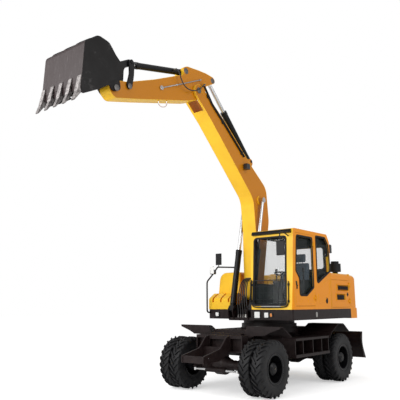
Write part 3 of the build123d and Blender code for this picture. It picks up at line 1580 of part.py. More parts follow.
def left_mirror():
    """Mirror on a bent arm from the cab's upper front corner."""
    left_x = cab_front_x + 330
    head = slab([
        (left_x - 18, 2580, 20), (left_x + 18, 2580, 15), (left_x + 18, 2860, 15), (left_x - 18, 2860, 20),
    ], 1075, 1240)
    foot_z = 3000
    foot_y = cab_left_y - cab_corner_radius - 12
    foot_x = front_x_at(foot_z)
    arm = [(foot_x - 3, foot_y, foot_z), (foot_x + 120, foot_y, foot_z + 40),
           (left_x, 1150, 3050), (left_x, 1150, 2850)]
    return head + tube(arm, [60, 60], 12)


rail_y = -1195
rail_radius = 17


def hand_rail():
    """Rail round the right front corner, from the deck up to the tank."""
    front = upper_front_right_x + 110
    y = rail_y + 30
    return tube([
        (upper_front_right_x, y, 1480), (front, y, 1480), (front, y, 2160),
        (front - 210, y, 2330), (front - 400, y, 2510), (-420, y, 2540), (-420, y + 60, 2250),
    ], [60, 90, 60, 90, 80], rail_radius) - right_tank()


def grab_rail():
    """Short rail at the windscreen's right edge, for climbing out."""
    low_z, high_z = 1740, 2110
    y_foot, y_out = cab_right_y + 34, cab_right_y + 26
    return tube([
        (front_x_at(low_z) - 50, y_foot, low_z), (front_x_at(low_z) + 50, y_foot - 4, low_z),
        (front_x_at(low_z) + 42, y_out, low_z + 70), (front_x_at(high_z) + 42, y_out, high_z - 70),
        (front_x_at(high_z) + 50, y_foot - 4, high_z), (front_x_at(high_z) - 50, y_foot, high_z),
    ], [38, 38, 38, 38], 12)


def rail_lamp():
    """Round-cornered work lamp on the hand rail, on its stem."""
    x = upper_front_right_x - 150
    y = rail_y + 30
    lamp = panel([(y - 62, 2335, 20), (y + 62, 2335, 20), (y + 62, 2440, 20), (y - 62, 2440, 20)], x, x + 70)
    return lamp + upright(x + 30, y, 11, 2436, 2520)


def rear_lamp():
    """Work lamp on a stem at the cab's left rear corner."""
    x, y = cab_rear_x - 130, cab_left_y - 62
    lamp = slab([(x - 45, 2770, 15), (x + 45, 2760, 15), (x + 45, 2960, 15), (x - 45, 2950, 15)], y - 45, y + 45)
    stem = bar((x + 30, y, 2860), (cab_rear_x + 20, y, 2860), 12)
    return lamp + stem


def right_mirror():
    """Mirror head on a short stem above the rail."""
    x = upper_front_right_x - 330
    y = rail_y + 30
    head = slab([
        (x - 16, 2560, 20), (x + 16, 2560, 15), (x + 16, 2830, 15), (x - 16, 2830, 20),
    ], y - 75, y + 75)
    return head + upright(x, y, 9, 2500, 2600)


def pre_cleaner():
    """Bowl of the air intake on its neck."""
    bowl = upright(-1350, 985, 60, hood_top_z, hood_top_z + 60)
    bowl += upright(-1350, 985, 132, hood_top_z + 50, hood_top_z + 235)
    bowl += upright(-1350, 985, 90, hood_top_z + 230, hood_top_z + 290)
    return bowl


def deck_lamps():
    """Lamps in the front of the deck: x of the face, y from, y to, z from, z to."""
    lamps = []
    for x, y_from, y_to, z_from, z_to in (
            (upper_front_left_x, 310, 455, 1375, 1515),
            (upper_front_left_x, 545, 655, 1385, 1500),
            (upper_front_left_x, 680, 740, 1400, 1485),
            (upper_front_right_x, -1000, -900, 1390, 1490)):
        lamps.append(block(x, x + 22, y_from, y_to, z_from, z_to))
    return lamps


def boom_lamp():
    """Work lamp on the boom's left flank."""
    x, z = local(boom_foot, boom_angle, 2690, 790)
    y = boom_y + boom_width / 2
    lamp = block(x - 60, x + 60, y + 20, y + 110, z - 60, z + 60)
    lamp += block(x - 15, x + 15, y, y + 30, z - 15, z + 15)
    return lamp


# Bodies and their solids

lower_barrel, lower_rod = cylinder_pair(boom_cylinder, boom_cylinder_foot, boom_rod_pin)
arm_barrel, arm_rod = cylinder_pair(arm_cylinder, arm_cylinder_base, arm_rod_pin)
tip_barrel, tip_rod = cylinder_pair(bucket_cylinder, bucket_cylinder_base, link_joint)
blade_barrel, blade_rod = cylinder_pair(blade_cylinder, blade_cylinder_base, blade_cylinder_rod)
shell = cab_shell()
rail = hand_rail()
one_tyre = tyre()

boom_cylinder_places = [boom_y + side * boom_cylinder_offset for side in (1, -1)]
nodes = {
    "chassis_frame": [chassis_frame()],
    "slew_race_lower": [upright(0, 0, race_radius, race_bottom_z, race_split_z)],
    "front_bracket": [front_bracket()],
    "front_axle": [front_axle()],
    "rear_axle": [rear_axle()],
    "driveline": [transmission()] + drive_shafts(),
    "fenders": both_sides(front_fender()) + both_sides(rear_fender()),
    "side_steps": both_sides(side_step()),
    "knuckle_left": [knuckle()],
    "knuckle_right": [other_side(knuckle())],
    "steering_rod": [steering_rod()],
    "blade": [blade()],
    "blade_cylinder_barrels": [moved_across(blade_barrel, side * blade_cylinder_y) for side in (1, -1)],
    "blade_cylinder_rods": [moved_across(blade_rod, side * blade_cylinder_y) for side in (1, -1)],
    "upper_frame": [upper_frame()],
    "counterweight": [counterweight()],
    "engine_housing": [engine_housing()],
    "hood_lid": [hood_lid()],
    "side_door_left": [side_door(1)],
    "side_door_right": [side_door(-1)],
    "engine_block": [engine_block()],
    "right_tank": [right_tank()],
    "cab_shell": [shell],
    "cab_door": [cab_door()],
    "door_pane": [door_pane()],
    "cab_glass": cab_glass(),
    "cab_visor": [cab_visor() - shell],
    "work_lamps": [rail_lamp() - rail, rear_lamp() - shell],
    "seat": [seat()],
    "console": console(),
    "front_guard": [front_guard()],
    "mirrors": [left_mirror() - shell, right_mirror() - rail],
    "hand_rail": [rail, grab_rail() - shell],
    "pre_cleaner": [pre_cleaner()],
    "deck_lamps": deck_lamps(),
    "boom": [boom()],
    "boom_lamp": [boom_lamp()],
    "boom_cylinder_barrels": [moved_across(lower_barrel, y) for y in boom_cylinder_places],
    "boom_cylinder_rods": [moved_across(lower_rod, y) for y in boom_cylinder_places],
    "arm": [arm()],
    "arm_cylinder_barrel": [moved_across(arm_barrel, boom_y)],
    "arm_cylinder_rod": [moved_across(arm_rod, boom_y)],
    "bucket": [bucket()],
    "bucket_teeth": bucket_teeth(),
    "bucket_cylinder_barrel": [moved_across(tip_barrel + port_stub(), boom_y)],
    "foot_hoses": foot_hoses(),
    "crossing_hose": [crossing_hose()],
    "loop_hose": [loop_hose()],
    "bucket_cylinder_rod": [moved_across(tip_rod, boom_y)],
    "side_links": side_links(),
    "bucket_link": [bucket_link()],
}
for place, x in (("front", front_axle_x), ("rear", rear_axle_x)):
    pair = [Pos(x, twin_centre_y + share * twin_pitch / 2, axle_z) * one_tyre for share in (-1, 1)]
    nodes["tyres_" + place + "_left"] = pair
    nodes["tyres_" + place + "_right"] = [other_side(one) for one in pair]
    nodes["rims_" + place + "_left"] = [rim(x)]
    nodes["rims_" + place + "_right"] = [other_side(rim(x))]

everything = [solid for shapes in nodes.values() for shape in shapes for solid in shape.solids()]
reach = Compound(children=everything).bounding_box()
origin_x = (reach.min.X + reach.max.X) / 2
os.makedirs("parts", exist_ok=True)
for name, shapes in nodes.items():
    placed = [solid for shape in shapes for solid in (Pos(-origin_x, 0, 0) * shape).solids()]
    export_step(Compound(children=placed), "parts/" + name + ".step")
print("origin lies at x =", round(origin_x, 3), "from the slew axis;", len(nodes), "nodes")
corners = (reach.min.X, reach.max.X, reach.min.Y, reach.max.Y, reach.max.Z)
print("whole machine", [round(v, 1) for v in corners])
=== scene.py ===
# Looks, light and camera for the wheeled excavator. Metres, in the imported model's own axes:
# +X to the bucket, +Y to the operator's left, +Z up. Most places below are given from the
# slew axis, which is how the machine was measured, and at() moves them into the frame.
import json
import math

import bmesh
import bpy
from mathutils import Matrix, Vector


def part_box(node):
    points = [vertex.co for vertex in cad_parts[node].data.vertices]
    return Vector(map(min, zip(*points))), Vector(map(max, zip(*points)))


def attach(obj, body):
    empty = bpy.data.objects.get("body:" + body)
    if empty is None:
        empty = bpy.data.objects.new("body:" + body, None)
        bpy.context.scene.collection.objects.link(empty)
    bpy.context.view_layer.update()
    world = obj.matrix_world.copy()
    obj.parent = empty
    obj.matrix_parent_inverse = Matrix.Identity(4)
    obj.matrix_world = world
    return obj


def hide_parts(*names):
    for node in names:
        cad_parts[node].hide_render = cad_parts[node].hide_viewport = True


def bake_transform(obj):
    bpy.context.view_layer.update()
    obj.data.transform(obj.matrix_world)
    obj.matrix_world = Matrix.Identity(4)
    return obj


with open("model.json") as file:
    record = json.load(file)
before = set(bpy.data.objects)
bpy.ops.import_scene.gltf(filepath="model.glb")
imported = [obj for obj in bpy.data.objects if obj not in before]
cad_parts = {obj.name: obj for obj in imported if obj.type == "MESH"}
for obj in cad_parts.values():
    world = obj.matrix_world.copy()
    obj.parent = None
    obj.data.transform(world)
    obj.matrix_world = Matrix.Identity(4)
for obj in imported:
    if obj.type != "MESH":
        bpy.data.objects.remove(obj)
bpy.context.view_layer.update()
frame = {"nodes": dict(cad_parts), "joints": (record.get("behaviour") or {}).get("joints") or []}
nodes = frame["nodes"]
joints = {joint["name"]: joint for joint in frame["joints"]}
slewX = joints["slew"]["pos_m"][0]
boomY = joints["boom_lift"]["pos_m"][1]
frontAxleX = joints["wheel_front_left_roll"]["pos_m"][0] - slewX
rearAxleX = joints["wheel_rear_left_roll"]["pos_m"][0] - slewX
axleZ = joints["wheel_front_left_roll"]["pos_m"][2]
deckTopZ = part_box("cab_shell")[0].z
cabLeftY = 1.2  # left side of cab and hood
alongY = Vector((0, 1, 0))


def at(x, y, z):
    return Vector((x + slewX, y, z))


def pin(name):
    # Joint axis place, from the slew axis
    x, y, z = joints[name]["pos_m"]
    return Vector((x - slewX, y, z))


# Mesh helpers

def placed(name, data):
    # New object in the scene
    obj = bpy.data.objects.new(name, data)
    bpy.context.scene.collection.objects.link(obj)
    return obj


def circle(sides, shift=0.0):
    # Cosine and sine of each corner of a regular outline
    turns = [2 * math.pi * (i + shift) / sides for i in range(sides)]
    return [(math.cos(a), math.sin(a)) for a in turns]


def ringFaces(rings, sides):
    # Faces between rings of as many points
    faces = []
    for r in range(rings - 1):
        for i in range(sides):
            j = (i + 1) % sides
            faces.append([r * sides + i, r * sides + j, (r + 1) * sides + j, (r + 1) * sides + i])
    return faces


def meshObject(name, points, faces, material, body, smooth=False, bevel=0.0, segments=2):
    mesh = bpy.data.meshes.new(name)
    mesh.from_pydata([tuple(p) for p in points], [], faces)
    mesh.validate()
    mesh.update()
    return finishPiece(placed(name, mesh), material, body, smooth, bevel, segments)


def finishPiece(obj, material, body, smooth=False, bevel=0.0, segments=2):
    mesh = obj.data
    shape = bmesh.new()
    shape.from_mesh(mesh)
    bmesh.ops.remove_doubles(shape, verts=shape.verts, dist=1e-6)
    bmesh.ops.recalc_face_normals(shape, faces=shape.faces)
    shape.to_mesh(mesh)
    shape.free()
    mesh.materials.clear()
    mesh.materials.append(material)
    if smooth or bevel:
        mesh.polygons.foreach_set("use_smooth", [True] * len(mesh.polygons))
    if bevel:
        soft = obj.modifiers.new("edges", "BEVEL")
        soft.width = bevel
        soft.segments = segments
        soft.limit_method = "ANGLE"
        soft.angle_limit = math.radians(35)
        soft.harden_normals = True
    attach(obj, body)
    return obj


class Builder:
    # Collects boxes, prisms, rods and rings into one mesh

    def __init__(self):
        self.points = []
        self.faces = []

    def add(self, points, faces):
        start = len(self.points)
        self.points += [Vector(p) for p in points]
        self.faces += [[start + i for i in face] for face in faces]

    def box(self, low, high):
        corners = [(x, y, z) for x in (low[0], high[0]) for y in (low[1], high[1])
                   for z in (low[2], high[2])]
        self.add(corners, [[0, 1, 3, 2], [4, 6, 7, 5], [0, 4, 5, 1], [2, 3, 7, 6], [0, 2, 6, 4],
                           [1, 5, 7, 3]])

    def rod(self, start, end, radius, sides=16):
        way = (end - start).normalized()
        across = way.orthogonal().normalized()
        up = way.cross(across)
        ring = [(across * c + up * s) * radius for c, s in circle(sides)]
        points = [start + p for p in ring] + [end + p for p in ring]
        faces = ringFaces(2, sides)
        faces += [list(range(sides))[::-1], list(range(sides, 2 * sides))]
        self.add(points, faces)

    def lathe(self, rows, centre, axis, sides=48):
        # rows are (radius, along)
        axis = Vector(axis).normalized()
        across = axis.orthogonal().normalized()
        up = axis.cross(across)
        ring = [across * c + up * s for c, s in circle(sides)]
        points = [centre + axis * along + p * radius for radius, along in rows for p in ring]
        self.add(points, ringFaces(len(rows), sides))

    def prism(self, outline, normal, low, high):
        # Flat outline given as 3D points in one plane, carried from low to high along normal
        normal = Vector(normal).normalized()
        count = len(outline)
        points = [p + normal * level for level in (low, high) for p in outline]
        faces = [list(range(count))[::-1], list(range(count, 2 * count))]
        self.add(points, faces + ringFaces(2, count))

    def band(self, outer, inner, normal, low, high):
        # Flat ring between two outlines of as many points
        normal = Vector(normal).normalized()
        count = len(outer)
        points = [p + normal * level for level in (low, high) for p in outer + inner]
        faces = []
        for i in range(count):
            j = (i + 1) % count
            faces.append([i, j, count + j, count + i])
            faces.append([2 * count + i, 3 * count + i, 3 * count + j, 2 * count + j])
            faces.append([i, 2 * count + i, 2 * count + j, j])
            faces.append([count + i, count + j, 3 * count + j, 3 * count + i])
        self.add(points, faces)

    def finish(self, name, material, body, smooth=False, bevel=0.0, segments=2):
        return meshObject(name, self.points, self.faces, material, body, smooth, bevel, segments)


def roundedOutline(rows, steps=5):
    # Corners (u, v, radius) to points, each corner rounded
    points = []
    count = len(rows)
    for i in range(count):
        corner = Vector(rows[i][:2])
        back = Vector(rows[i - 1][:2]) - corner
        ahead = Vector(rows[(i + 1) % count][:2]) - corner
        half = back.angle(ahead) / 2
        run = min(rows[i][2] / math.tan(half), 0.48 * min(back.length, ahead.length))
        radius = run * math.tan(half)
        centre = corner + (back.normalized() + ahead.normalized()).normalized() * (radius / math.sin(half))
        start = corner + back.normalized() * run - centre
        end = corner + ahead.normalized() * run - centre
        turn = start.angle_signed(end)
        for k in range(steps + 1):
            a = -turn * k / steps
            points.append(centre + Vector((start.x * math.cos(a) - start.y * math.sin(a),
                                           start.x * math.sin(a) + start.y * math.cos(a))))
    return points


def grown(points, by):
    # A flat outline moved outwards by a distance (inwards if negative)
    following = points[1:] + points[:1]
    area = sum(p.x * q.y - q.x * p.y for p, q in zip(points, following))
    sign = 1 if area > 0 else -1
    moved = []
    for i, point in enumerate(points):
        a = (point - points[i - 1]).normalized()
        b = (following[i] - point).normalized()
        out = Vector((a.y + b.y, -a.x - b.x))
        if out.length < 1e-6:
            out = Vector((a.y, -a.x))
        out.normalize()
        flat = Vector((a.y, -a.x)).dot(out)
        moved.append(point + out * sign * by / max(flat, 0.5))
    return moved


def onSide(points, y):
    # Flat (x, z) points from the slew axis, stood up in the plane at this y
    return [at(p.x, y, p.y) for p in points]


def smoothCurve(name, points, resolution):
    # NURBS curve whose control points these are
    data = bpy.data.curves.new(name, "CURVE")
    data.dimensions = "3D"
    data.resolution_u = resolution
    spline = data.splines.new("NURBS")
    spline.points.add(len(points) - 1)
    for k, p in enumerate(points):
        spline.points[k].co = (*p, 1)
    spline.order_u = 3
    spline.use_endpoint_u = True
    return placed(name, data)


def curveTube(name, points, radius, material, body, sides=4):
    # Round tube on a smooth line near the points
    tube = smoothCurve(name, points, 12)
    tube.data.bevel_depth = radius
    tube.data.bevel_resolution = sides
    tube.data.use_fill_caps = True
    tube.data.materials.append(material)
    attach(tube, body)


# Camera

view = {
    "place": (10.326, 6.527, 1.658),
    "heading": 219.40,
    "pitch": 11.0,
    "roll": -0.2,
    "lens": 48.3,
}


def makeCamera():
    data = bpy.data.cameras.new("camera")
    data.lens = view["lens"]
    data.sensor_width = 36
    heading, pitch = math.radians(view["heading"]), math.radians(view["pitch"])
    level = math.cos(pitch)
    forward = Vector((math.cos(heading) * level, math.sin(heading) * level, math.sin(pitch)))
    turn = forward.to_track_quat("-Z", "Y").to_matrix()
    turn = turn @ Matrix.Rotation(math.radians(view["roll"]), 3, "Z")
    camera = placed("camera", data)
    camera.matrix_world = Matrix.Translation(at(*view["place"])) @ turn.to_4x4()
    bpy.context.scene.camera = camera


makeCamera()
print("camera set")

# Materials

def newMaterial(name):
    material = bpy.data.materials.new(name)
    material.use_nodes = True
    tree = material.node_tree
    return material, tree, tree.nodes["Principled BSDF"]


def join(tree, value, socket):
    # A socket is linked, a number or colour is set
    if isinstance(value, bpy.types.NodeSocket):
        tree.links.new(value, socket)
    else:
        socket.default_value = (*value, 1) if isinstance(value, tuple) else value


def coordinate(tree, kind="Object"):
    return tree.nodes.new("ShaderNodeTexCoord").outputs[kind]


def calculate(tree, operation, *values):
    node = tree.nodes.new("ShaderNodeMath")
    node.operation = operation
    for socket, value in zip(node.inputs, values):
        join(tree, value, socket)
    return node.outputs[0]


def splitAxes(tree, vector):
    node = tree.nodes.new("ShaderNodeSeparateXYZ")
    tree.links.new(vector, node.inputs[0])
    return node.outputs


def noise(tree, scale, detail=4.0, roughness=0.55, vector=None):
    texture = tree.nodes.new("ShaderNodeTexNoise")
    texture.inputs["Scale"].default_value = scale
    texture.inputs["Detail"].default_value = detail
    texture.inputs["Roughness"].default_value = roughness
    tree.links.new(vector or coordinate(tree), texture.inputs["Vector"])
    return texture.outputs["Fac"]


def ramp(tree, source, low, high, lowValue=0.0, highValue=1.0):
    node = tree.nodes.new("ShaderNodeMapRange")
    for name, value in (("Value", source), ("From Min", low), ("From Max", high), ("To Min", lowValue),
                        ("To Max", highValue)):
        join(tree, value, node.inputs[name])
    return node.outputs[0]


def mixColour(tree, factor, first, second):
    node = tree.nodes.new("ShaderNodeMix")
    node.data_type = "RGBA"
    tree.links.new(factor, node.inputs["Factor"])
    for name, value in (("A", first), ("B", second)):
        join(tree, value, [s for s in node.inputs if s.name == name and s.type == "RGBA"][0])
    return [s for s in node.outputs if s.type == "RGBA"][0]


def facingAcross(tree):
    # How far a face looks across the machine, 0 to 1
    return calculate(tree, "ABSOLUTE", splitAxes(tree, coordinate(tree, "Normal"))["Y"])


def setShader(tree, shader, colour, roughness, levels, bump=None):
    # Colour and roughness are sockets or plain values, bump is a height, its strength and distance
    join(tree, colour, shader.inputs["Base Color"])
    join(tree, roughness, shader.inputs["Roughness"])
    for name, value in levels.items():
        shader.inputs[name].default_value = value
    if bump:
        node = tree.nodes.new("ShaderNodeBump")
        for name, value in zip(("Height", "Strength", "Distance"), bump):
            join(tree, value, node.inputs[name])
        tree.links.new(node.outputs["Normal"], shader.inputs["Normal"])


def pattern(tree, kind, scale):
    # Fine checks or flutes
    node = tree.nodes.new(kind)
    node.inputs["Scale"].default_value = scale
    tree.links.new(coordinate(tree), node.inputs["Vector"])
    return node.outputs["Fac"]


# Yellow paint with painted shade: faces that look across the machine get a darker orange, as if the light
# fell from the front
machinePaintAndShade = {
    "front": (0.94, 0.56, 0.028),
    # flank and cabFlank: painted shade for the faces that look across the machine
    "flank": (0.56, 0.20, 0.003),
    "cabFlank": (0.80, 0.27, 0.002),
    "dust": (0.50, 0.33, 0.15),
    "lining": (0.012, 0.012, 0.013),
    "flankRange": (0.25, 0.9),  # how far a face looks across: the painted shade of the flanks begins, is full
    "clouds": (2.2, 3.0),  # a noise's scale and detail, and its roughness where a third stands
    "cloudRange": (0.42, 0.72, 0.0, 0.16),
    "cloudShade": 0.72,
    "grime": (26.0, 6.0, 0.7),
    "grimeRange": (0.58, 0.80, 0.0, 0.22),
    "roughness": (0.35, 0.75, 0.27, 0.48),
    "peel": (900.0, 2.0),
    "peelBump": (0.05, 0.0004),
    "levels": {"Specular IOR Level": 0.22, "Coat Weight": 0.08, "Coat Roughness": 0.12},
}
cabInside = {  # where the lining begins, half way through the cab's walls
    "rightY": 0.235,
    "leftY": cabLeftY - 0.024,
    "roofZ": 3.130,
    "rearX": -0.628,
    "frontX": 1.018 + 0.059 * 1.55 - 0.024,
    "frontLean": 0.059,
}


def insideCab(tree):
    # 1 where a place of the cab's walls lies inside their outer half, 0 on the outer faces
    axes = splitAxes(tree, coordinate(tree))
    lean = calculate(tree, "MULTIPLY_ADD", axes["Z"], cabInside["frontLean"], axes["X"])
    share = calculate(tree, "GREATER_THAN", axes["Y"], cabInside["rightY"])
    for value, operation, limit in (
            (axes["Y"], "LESS_THAN", cabInside["leftY"]), (axes["Z"], "LESS_THAN", cabInside["roofZ"]),
            (axes["X"], "GREATER_THAN", slewX + cabInside["rearX"]),
            (lean, "LESS_THAN", slewX + cabInside["frontX"])):
        share = calculate(tree, "MULTIPLY", share, calculate(tree, operation, value, limit))
    return share


def shadedPaintMaterial(name, flank, lined=False):
    # Gloss paint with painted shade: plates facing across the machine are made a darker, deeper orange, as if
    # lit from the front
    paint = machinePaintAndShade
    material, tree, shader = newMaterial(name)
    # painted shade on the faces that look across the machine
    across = ramp(tree, facingAcross(tree), *paint["flankRange"])
    across.node.interpolation_type = "SMOOTHSTEP"
    colour = mixColour(tree, across, paint["front"], flank)
    clouds = ramp(tree, noise(tree, *paint["clouds"]), *paint["cloudRange"])
    colour = mixColour(tree, clouds, colour, tuple(paint["cloudShade"] * c for c in flank))
    grime = noise(tree, *paint["grime"])
    colour = mixColour(tree, ramp(tree, grime, *paint["grimeRange"]), colour, paint["dust"])
    if lined:
        colour = mixColour(tree, insideCab(tree), colour, paint["lining"])
    peel = noise(tree, *paint["peel"])
    setShader(tree, shader, colour, ramp(tree, grime, *paint["roughness"]), paint["levels"],
              (peel, *paint["peelBump"]))
    return material


def mottledMaterial(name, colours, spots, mix, uneven, levels, grain=None):
    # Two colours mixed by a noise, which makes the roughness uneven too. mix and uneven are ranges
    # from and to, grain is the bump's noise, strength and distance.
    material, tree, shader = newMaterial(name)
    texture = noise(tree, *spots)
    colour = mixColour(tree, ramp(tree, texture, *mix), *colours)
    bump = (noise(tree, *grain[0]), *grain[1:]) if grain else None
    setShader(tree, shader, colour, ramp(tree, texture, *uneven), levels, bump)
    return material


def plainMaterial(name, colour, roughness, metallic=0.0, mottle=0.25, scale=30.0, bump=0.1, distance=0.0005,
                  second=None, specular=0.5):
    second = second or tuple(min(1.0, 0.55 * c + 0.02) for c in colour)
    return mottledMaterial(name, (colour, second), (scale, 5.0, 0.6), (0.38, 0.70, 0.0, mottle),
                           (0.3, 0.7, roughness - 0.06, roughness + 0.10),
                           {"Metallic": metallic, "Specular IOR Level": specular},
                           ((scale * 14, 3.0), bump, distance) if bump else None)


bucketFinishAndShade = {
    "sheet": (0.020, 0.012, 0.012),
    # sides: painted shade, near black on the plates that face across the machine
    "sides": (0.004, 0.003, 0.003),
    "sideRange": (0.5, 0.9),
    "scrapes": (0.16, 0.145, 0.145),
    "scrapeNoise": (1.6, 6.0, 0.65),
    "scrapeStretch": (3.0, 40.0, 3.0),
    "scrapeRange": (0.60, 0.78, 0.0, 0.45),
    "roughness": (0.4, 0.75, 0.50, 0.36),
    "pits": (90.0, 4.0),
    "pitBump": (0.2, 0.0008),
    "levels": {"Specular IOR Level": 0.2},
}


def bucketMaterial():
    # Dark brown paint with pale scrapes along the sheet; the plates that face across are made near black, a
    # painted shade
    paint = bucketFinishAndShade
    material, tree, shader = newMaterial("bucketPaint")
    # painted shade on the plates that face across
    side = ramp(tree, facingAcross(tree), *paint["sideRange"])
    colour = mixColour(tree, side, paint["sheet"], paint["sides"])
    stretch = tree.nodes.new("ShaderNodeMapping")
    stretch.inputs["Scale"].default_value = paint["scrapeStretch"]
    tree.links.new(coordinate(tree), stretch.inputs["Vector"])
    scrape = noise(tree, *paint["scrapeNoise"], stretch.outputs["Vector"])
    colour = mixColour(tree, ramp(tree, scrape, *paint["scrapeRange"]), colour, paint["scrapes"])
    pits = noise(tree, *paint["pits"])
    setShader(tree, shader, colour, ramp(tree, scrape, *paint["roughness"]), paint["levels"],
              (pits, *paint["pitBump"]))
    return material


glass = {
    "tint": (0.05, 0.07, 0.07),
    "smears": (3.0, 3.0),
    "roughness": (0.4, 0.8, 0.02, 0.10),
    "levels": {"Alpha": 0.12, "Specular IOR Level": 0.6},
}
cloth = {
    "colours": ((0.055, 0.075, 0.10), (0.09, 0.115, 0.145)),
    "wear": (14.0, 4.0),
    "wearRange": (0.35, 0.7, 0.0, 0.6),
    "weaveScale": 420.0,
    "weaveBump": (0.3, 0.0006),
    "roughness": 0.9,
    "levels": {"Sheen Weight": 0.35},
}
lens = {
    "fluteScale": 60.0,
    "fluteRange": (0.2, 0.8, 0.0, 0.35),
    "fluteShade": 0.8,
    "fluteBump": (0.4, 0.002),
    "roughness": 0.12,
    "levels": {"Coat Weight": 0.6},
}


def glassMaterial():
    # Clear panes with faint smears
    material, tree, shader = newMaterial("cabGlass")
    smears = ramp(tree, noise(tree, *glass["smears"]), *glass["roughness"])
    setShader(tree, shader, glass["tint"], smears, glass["levels"])
    return material


def clothMaterial():
    # Woven seat cloth, fine checks in its bump
    material, tree, shader = newMaterial("seatCloth")
    wear = ramp(tree, noise(tree, *cloth["wear"]), *cloth["wearRange"])
    weave = pattern(tree, "ShaderNodeTexChecker", cloth["weaveScale"])
    setShader(tree, shader, mixColour(tree, wear, *cloth["colours"]), cloth["roughness"], cloth["levels"],
              (weave, *cloth["weaveBump"]))
    return material


def lensMaterial(name, colour):
    # Fluted lamp glass
    material, tree, shader = newMaterial(name)
    flutes = pattern(tree, "ShaderNodeTexWave", lens["fluteScale"])
    shaded = tuple(lens["fluteShade"] * c for c in colour)
    fluted = mixColour(tree, ramp(tree, flutes, *lens["fluteRange"]), colour, shaded)
    setShader(tree, shader, fluted, lens["roughness"], lens["levels"], (flutes, *lens["fluteBump"]))
    return material


# These paints carry painted shade on their flanks
yellowPaint = shadedPaintMaterial("machineYellow", machinePaintAndShade["flank"])
cabPaint = shadedPaintMaterial("cabYellow", machinePaintAndShade["cabFlank"])
linedPaint = shadedPaintMaterial("linedCabYellow", machinePaintAndShade["cabFlank"], lined=True)
# bright yellow for the edge beads: painted highlight
edgeHighlightPaint = plainMaterial("edgeYellow", (0.90, 0.52, 0.03), 0.34, mottle=0.3, scale=40.0,
                          second=(0.62, 0.30, 0.03), specular=0.3)
# dark chassis paint, also used as painted shade in the louvres
darkPaintAndLouvreShade = plainMaterial("chassisBrown", (0.011, 0.006, 0.006), 0.42, mottle=0.5, scale=12.0,
                          second=(0.026, 0.017, 0.016), specular=0.2)
blackPaint = plainMaterial("blackPaint", (0.004, 0.004, 0.005), 0.30, mottle=0.4, scale=16.0,
                           second=(0.012, 0.012, 0.013), specular=0.22)
castIron = plainMaterial("castIron", (0.06, 0.058, 0.055), 0.62, metallic=0.4, bump=0.3, distance=0.001)
wornSteel = plainMaterial("wornSteel", (0.26, 0.24, 0.235), 0.40, metallic=0.7, mottle=0.9, scale=24.0,
                          bump=0.25, second=(0.030, 0.024, 0.023))
pinSteel = plainMaterial("pinSteel", (0.16, 0.15, 0.145), 0.38, metallic=0.8, mottle=0.5)
greyPipe = plainMaterial("greyPipe", (0.40, 0.39, 0.37), 0.32, metallic=0.7, mottle=0.4, scale=40.0)
blackPlastic = plainMaterial("blackPlastic", (0.008, 0.008, 0.009), 0.46, mottle=0.3, bump=0.25,
                             distance=0.0004, specular=0.25)
rubberSeal = plainMaterial("rubberSeal", (0.005, 0.005, 0.006), 0.55, mottle=0.3, specular=0.2)
hoseRubber = plainMaterial("hoseRubber", (0.012, 0.012, 0.013), 0.42, mottle=0.4, scale=50.0, bump=0.2,
                           second=(0.05, 0.05, 0.052))
pinkHose = plainMaterial("pinkHose", (0.62, 0.42, 0.38), 0.45, mottle=0.3)
lampBody = plainMaterial("lampBody", (0.02, 0.02, 0.022), 0.35, mottle=0.3)
whiteFitting = plainMaterial("whiteFitting", (0.72, 0.70, 0.66), 0.42, mottle=0.2)
mirrorGlass = plainMaterial("mirrorGlass", (0.55, 0.58, 0.60), 0.08, metallic=1.0, mottle=0.1, bump=0.0)
whiteLens = lensMaterial("whiteLens", (0.86, 0.86, 0.84))
amberLens = lensMaterial("amberLens", (0.80, 0.28, 0.05))
chrome = mottledMaterial("rodChrome", ((0.62, 0.62, 0.62), (0.44, 0.44, 0.45)), (60.0, 3.0),
                         (0.4, 0.8, 0.0, 0.3), (0.3, 0.8, 0.10, 0.22), {"Metallic": 1.0})
tyreRubber = mottledMaterial("tyreRubber", ((0.007, 0.007, 0.008), (0.034, 0.032, 0.033)), (9.0, 6.0, 0.7),
                             (0.48, 0.80, 0.0, 0.35), (0.3, 0.8, 0.42, 0.68), {"Specular IOR Level": 0.28},
                             ((420.0, 3.0), 0.25, 0.0008))
bucketPaint = bucketMaterial()
cabGlass = glassMaterial()
seatCloth = clothMaterial()
print("materials made")

nodeFinish = {
    darkPaintAndLouvreShade: ["chassis_frame", "slew_race_lower", "front_bracket", "front_axle", "rear_axle", "driveline",
                "fenders", "side_steps", "knuckle_left", "knuckle_right", "blade", "upper_frame"],
    cabPaint: ["counterweight", "engine_housing", "hood_lid", "side_door_left", "side_door_right",
               "right_tank"],
    linedPaint: ["cab_shell", "cab_door"],
    yellowPaint: ["boom", "arm"],
    blackPaint: ["blade_cylinder_barrels", "boom_cylinder_barrels", "arm_cylinder_barrel",
                 "bucket_cylinder_barrel", "side_links", "bucket_link", "rims_front_left", "rims_front_right",
                 "rims_rear_left", "rims_rear_right", "cab_visor", "front_guard", "hand_rail"],
    chrome: ["steering_rod", "blade_cylinder_rods", "boom_cylinder_rods", "arm_cylinder_rod",
             "bucket_cylinder_rod"],
    castIron: ["engine_block"],
    bucketPaint: ["bucket"],
    wornSteel: ["bucket_teeth"],
    blackPlastic: ["mirrors", "pre_cleaner", "console"],
    cabGlass: ["cab_glass", "door_pane"],
    lampBody: ["deck_lamps", "boom_lamp", "work_lamps"],
    tyreRubber: ["tyres_front_left", "tyres_front_right", "tyres_rear_left", "tyres_rear_right"],
    seatCloth: ["seat"],
}
for finish, names in nodeFinish.items():
    for name in names:
        slots = nodes[name].data.materials
        for index in range(len(slots)):
            slots[index] = finish
        if not len(slots):
            slots.append(finish)
print("frame nodes finished")

# Hoses

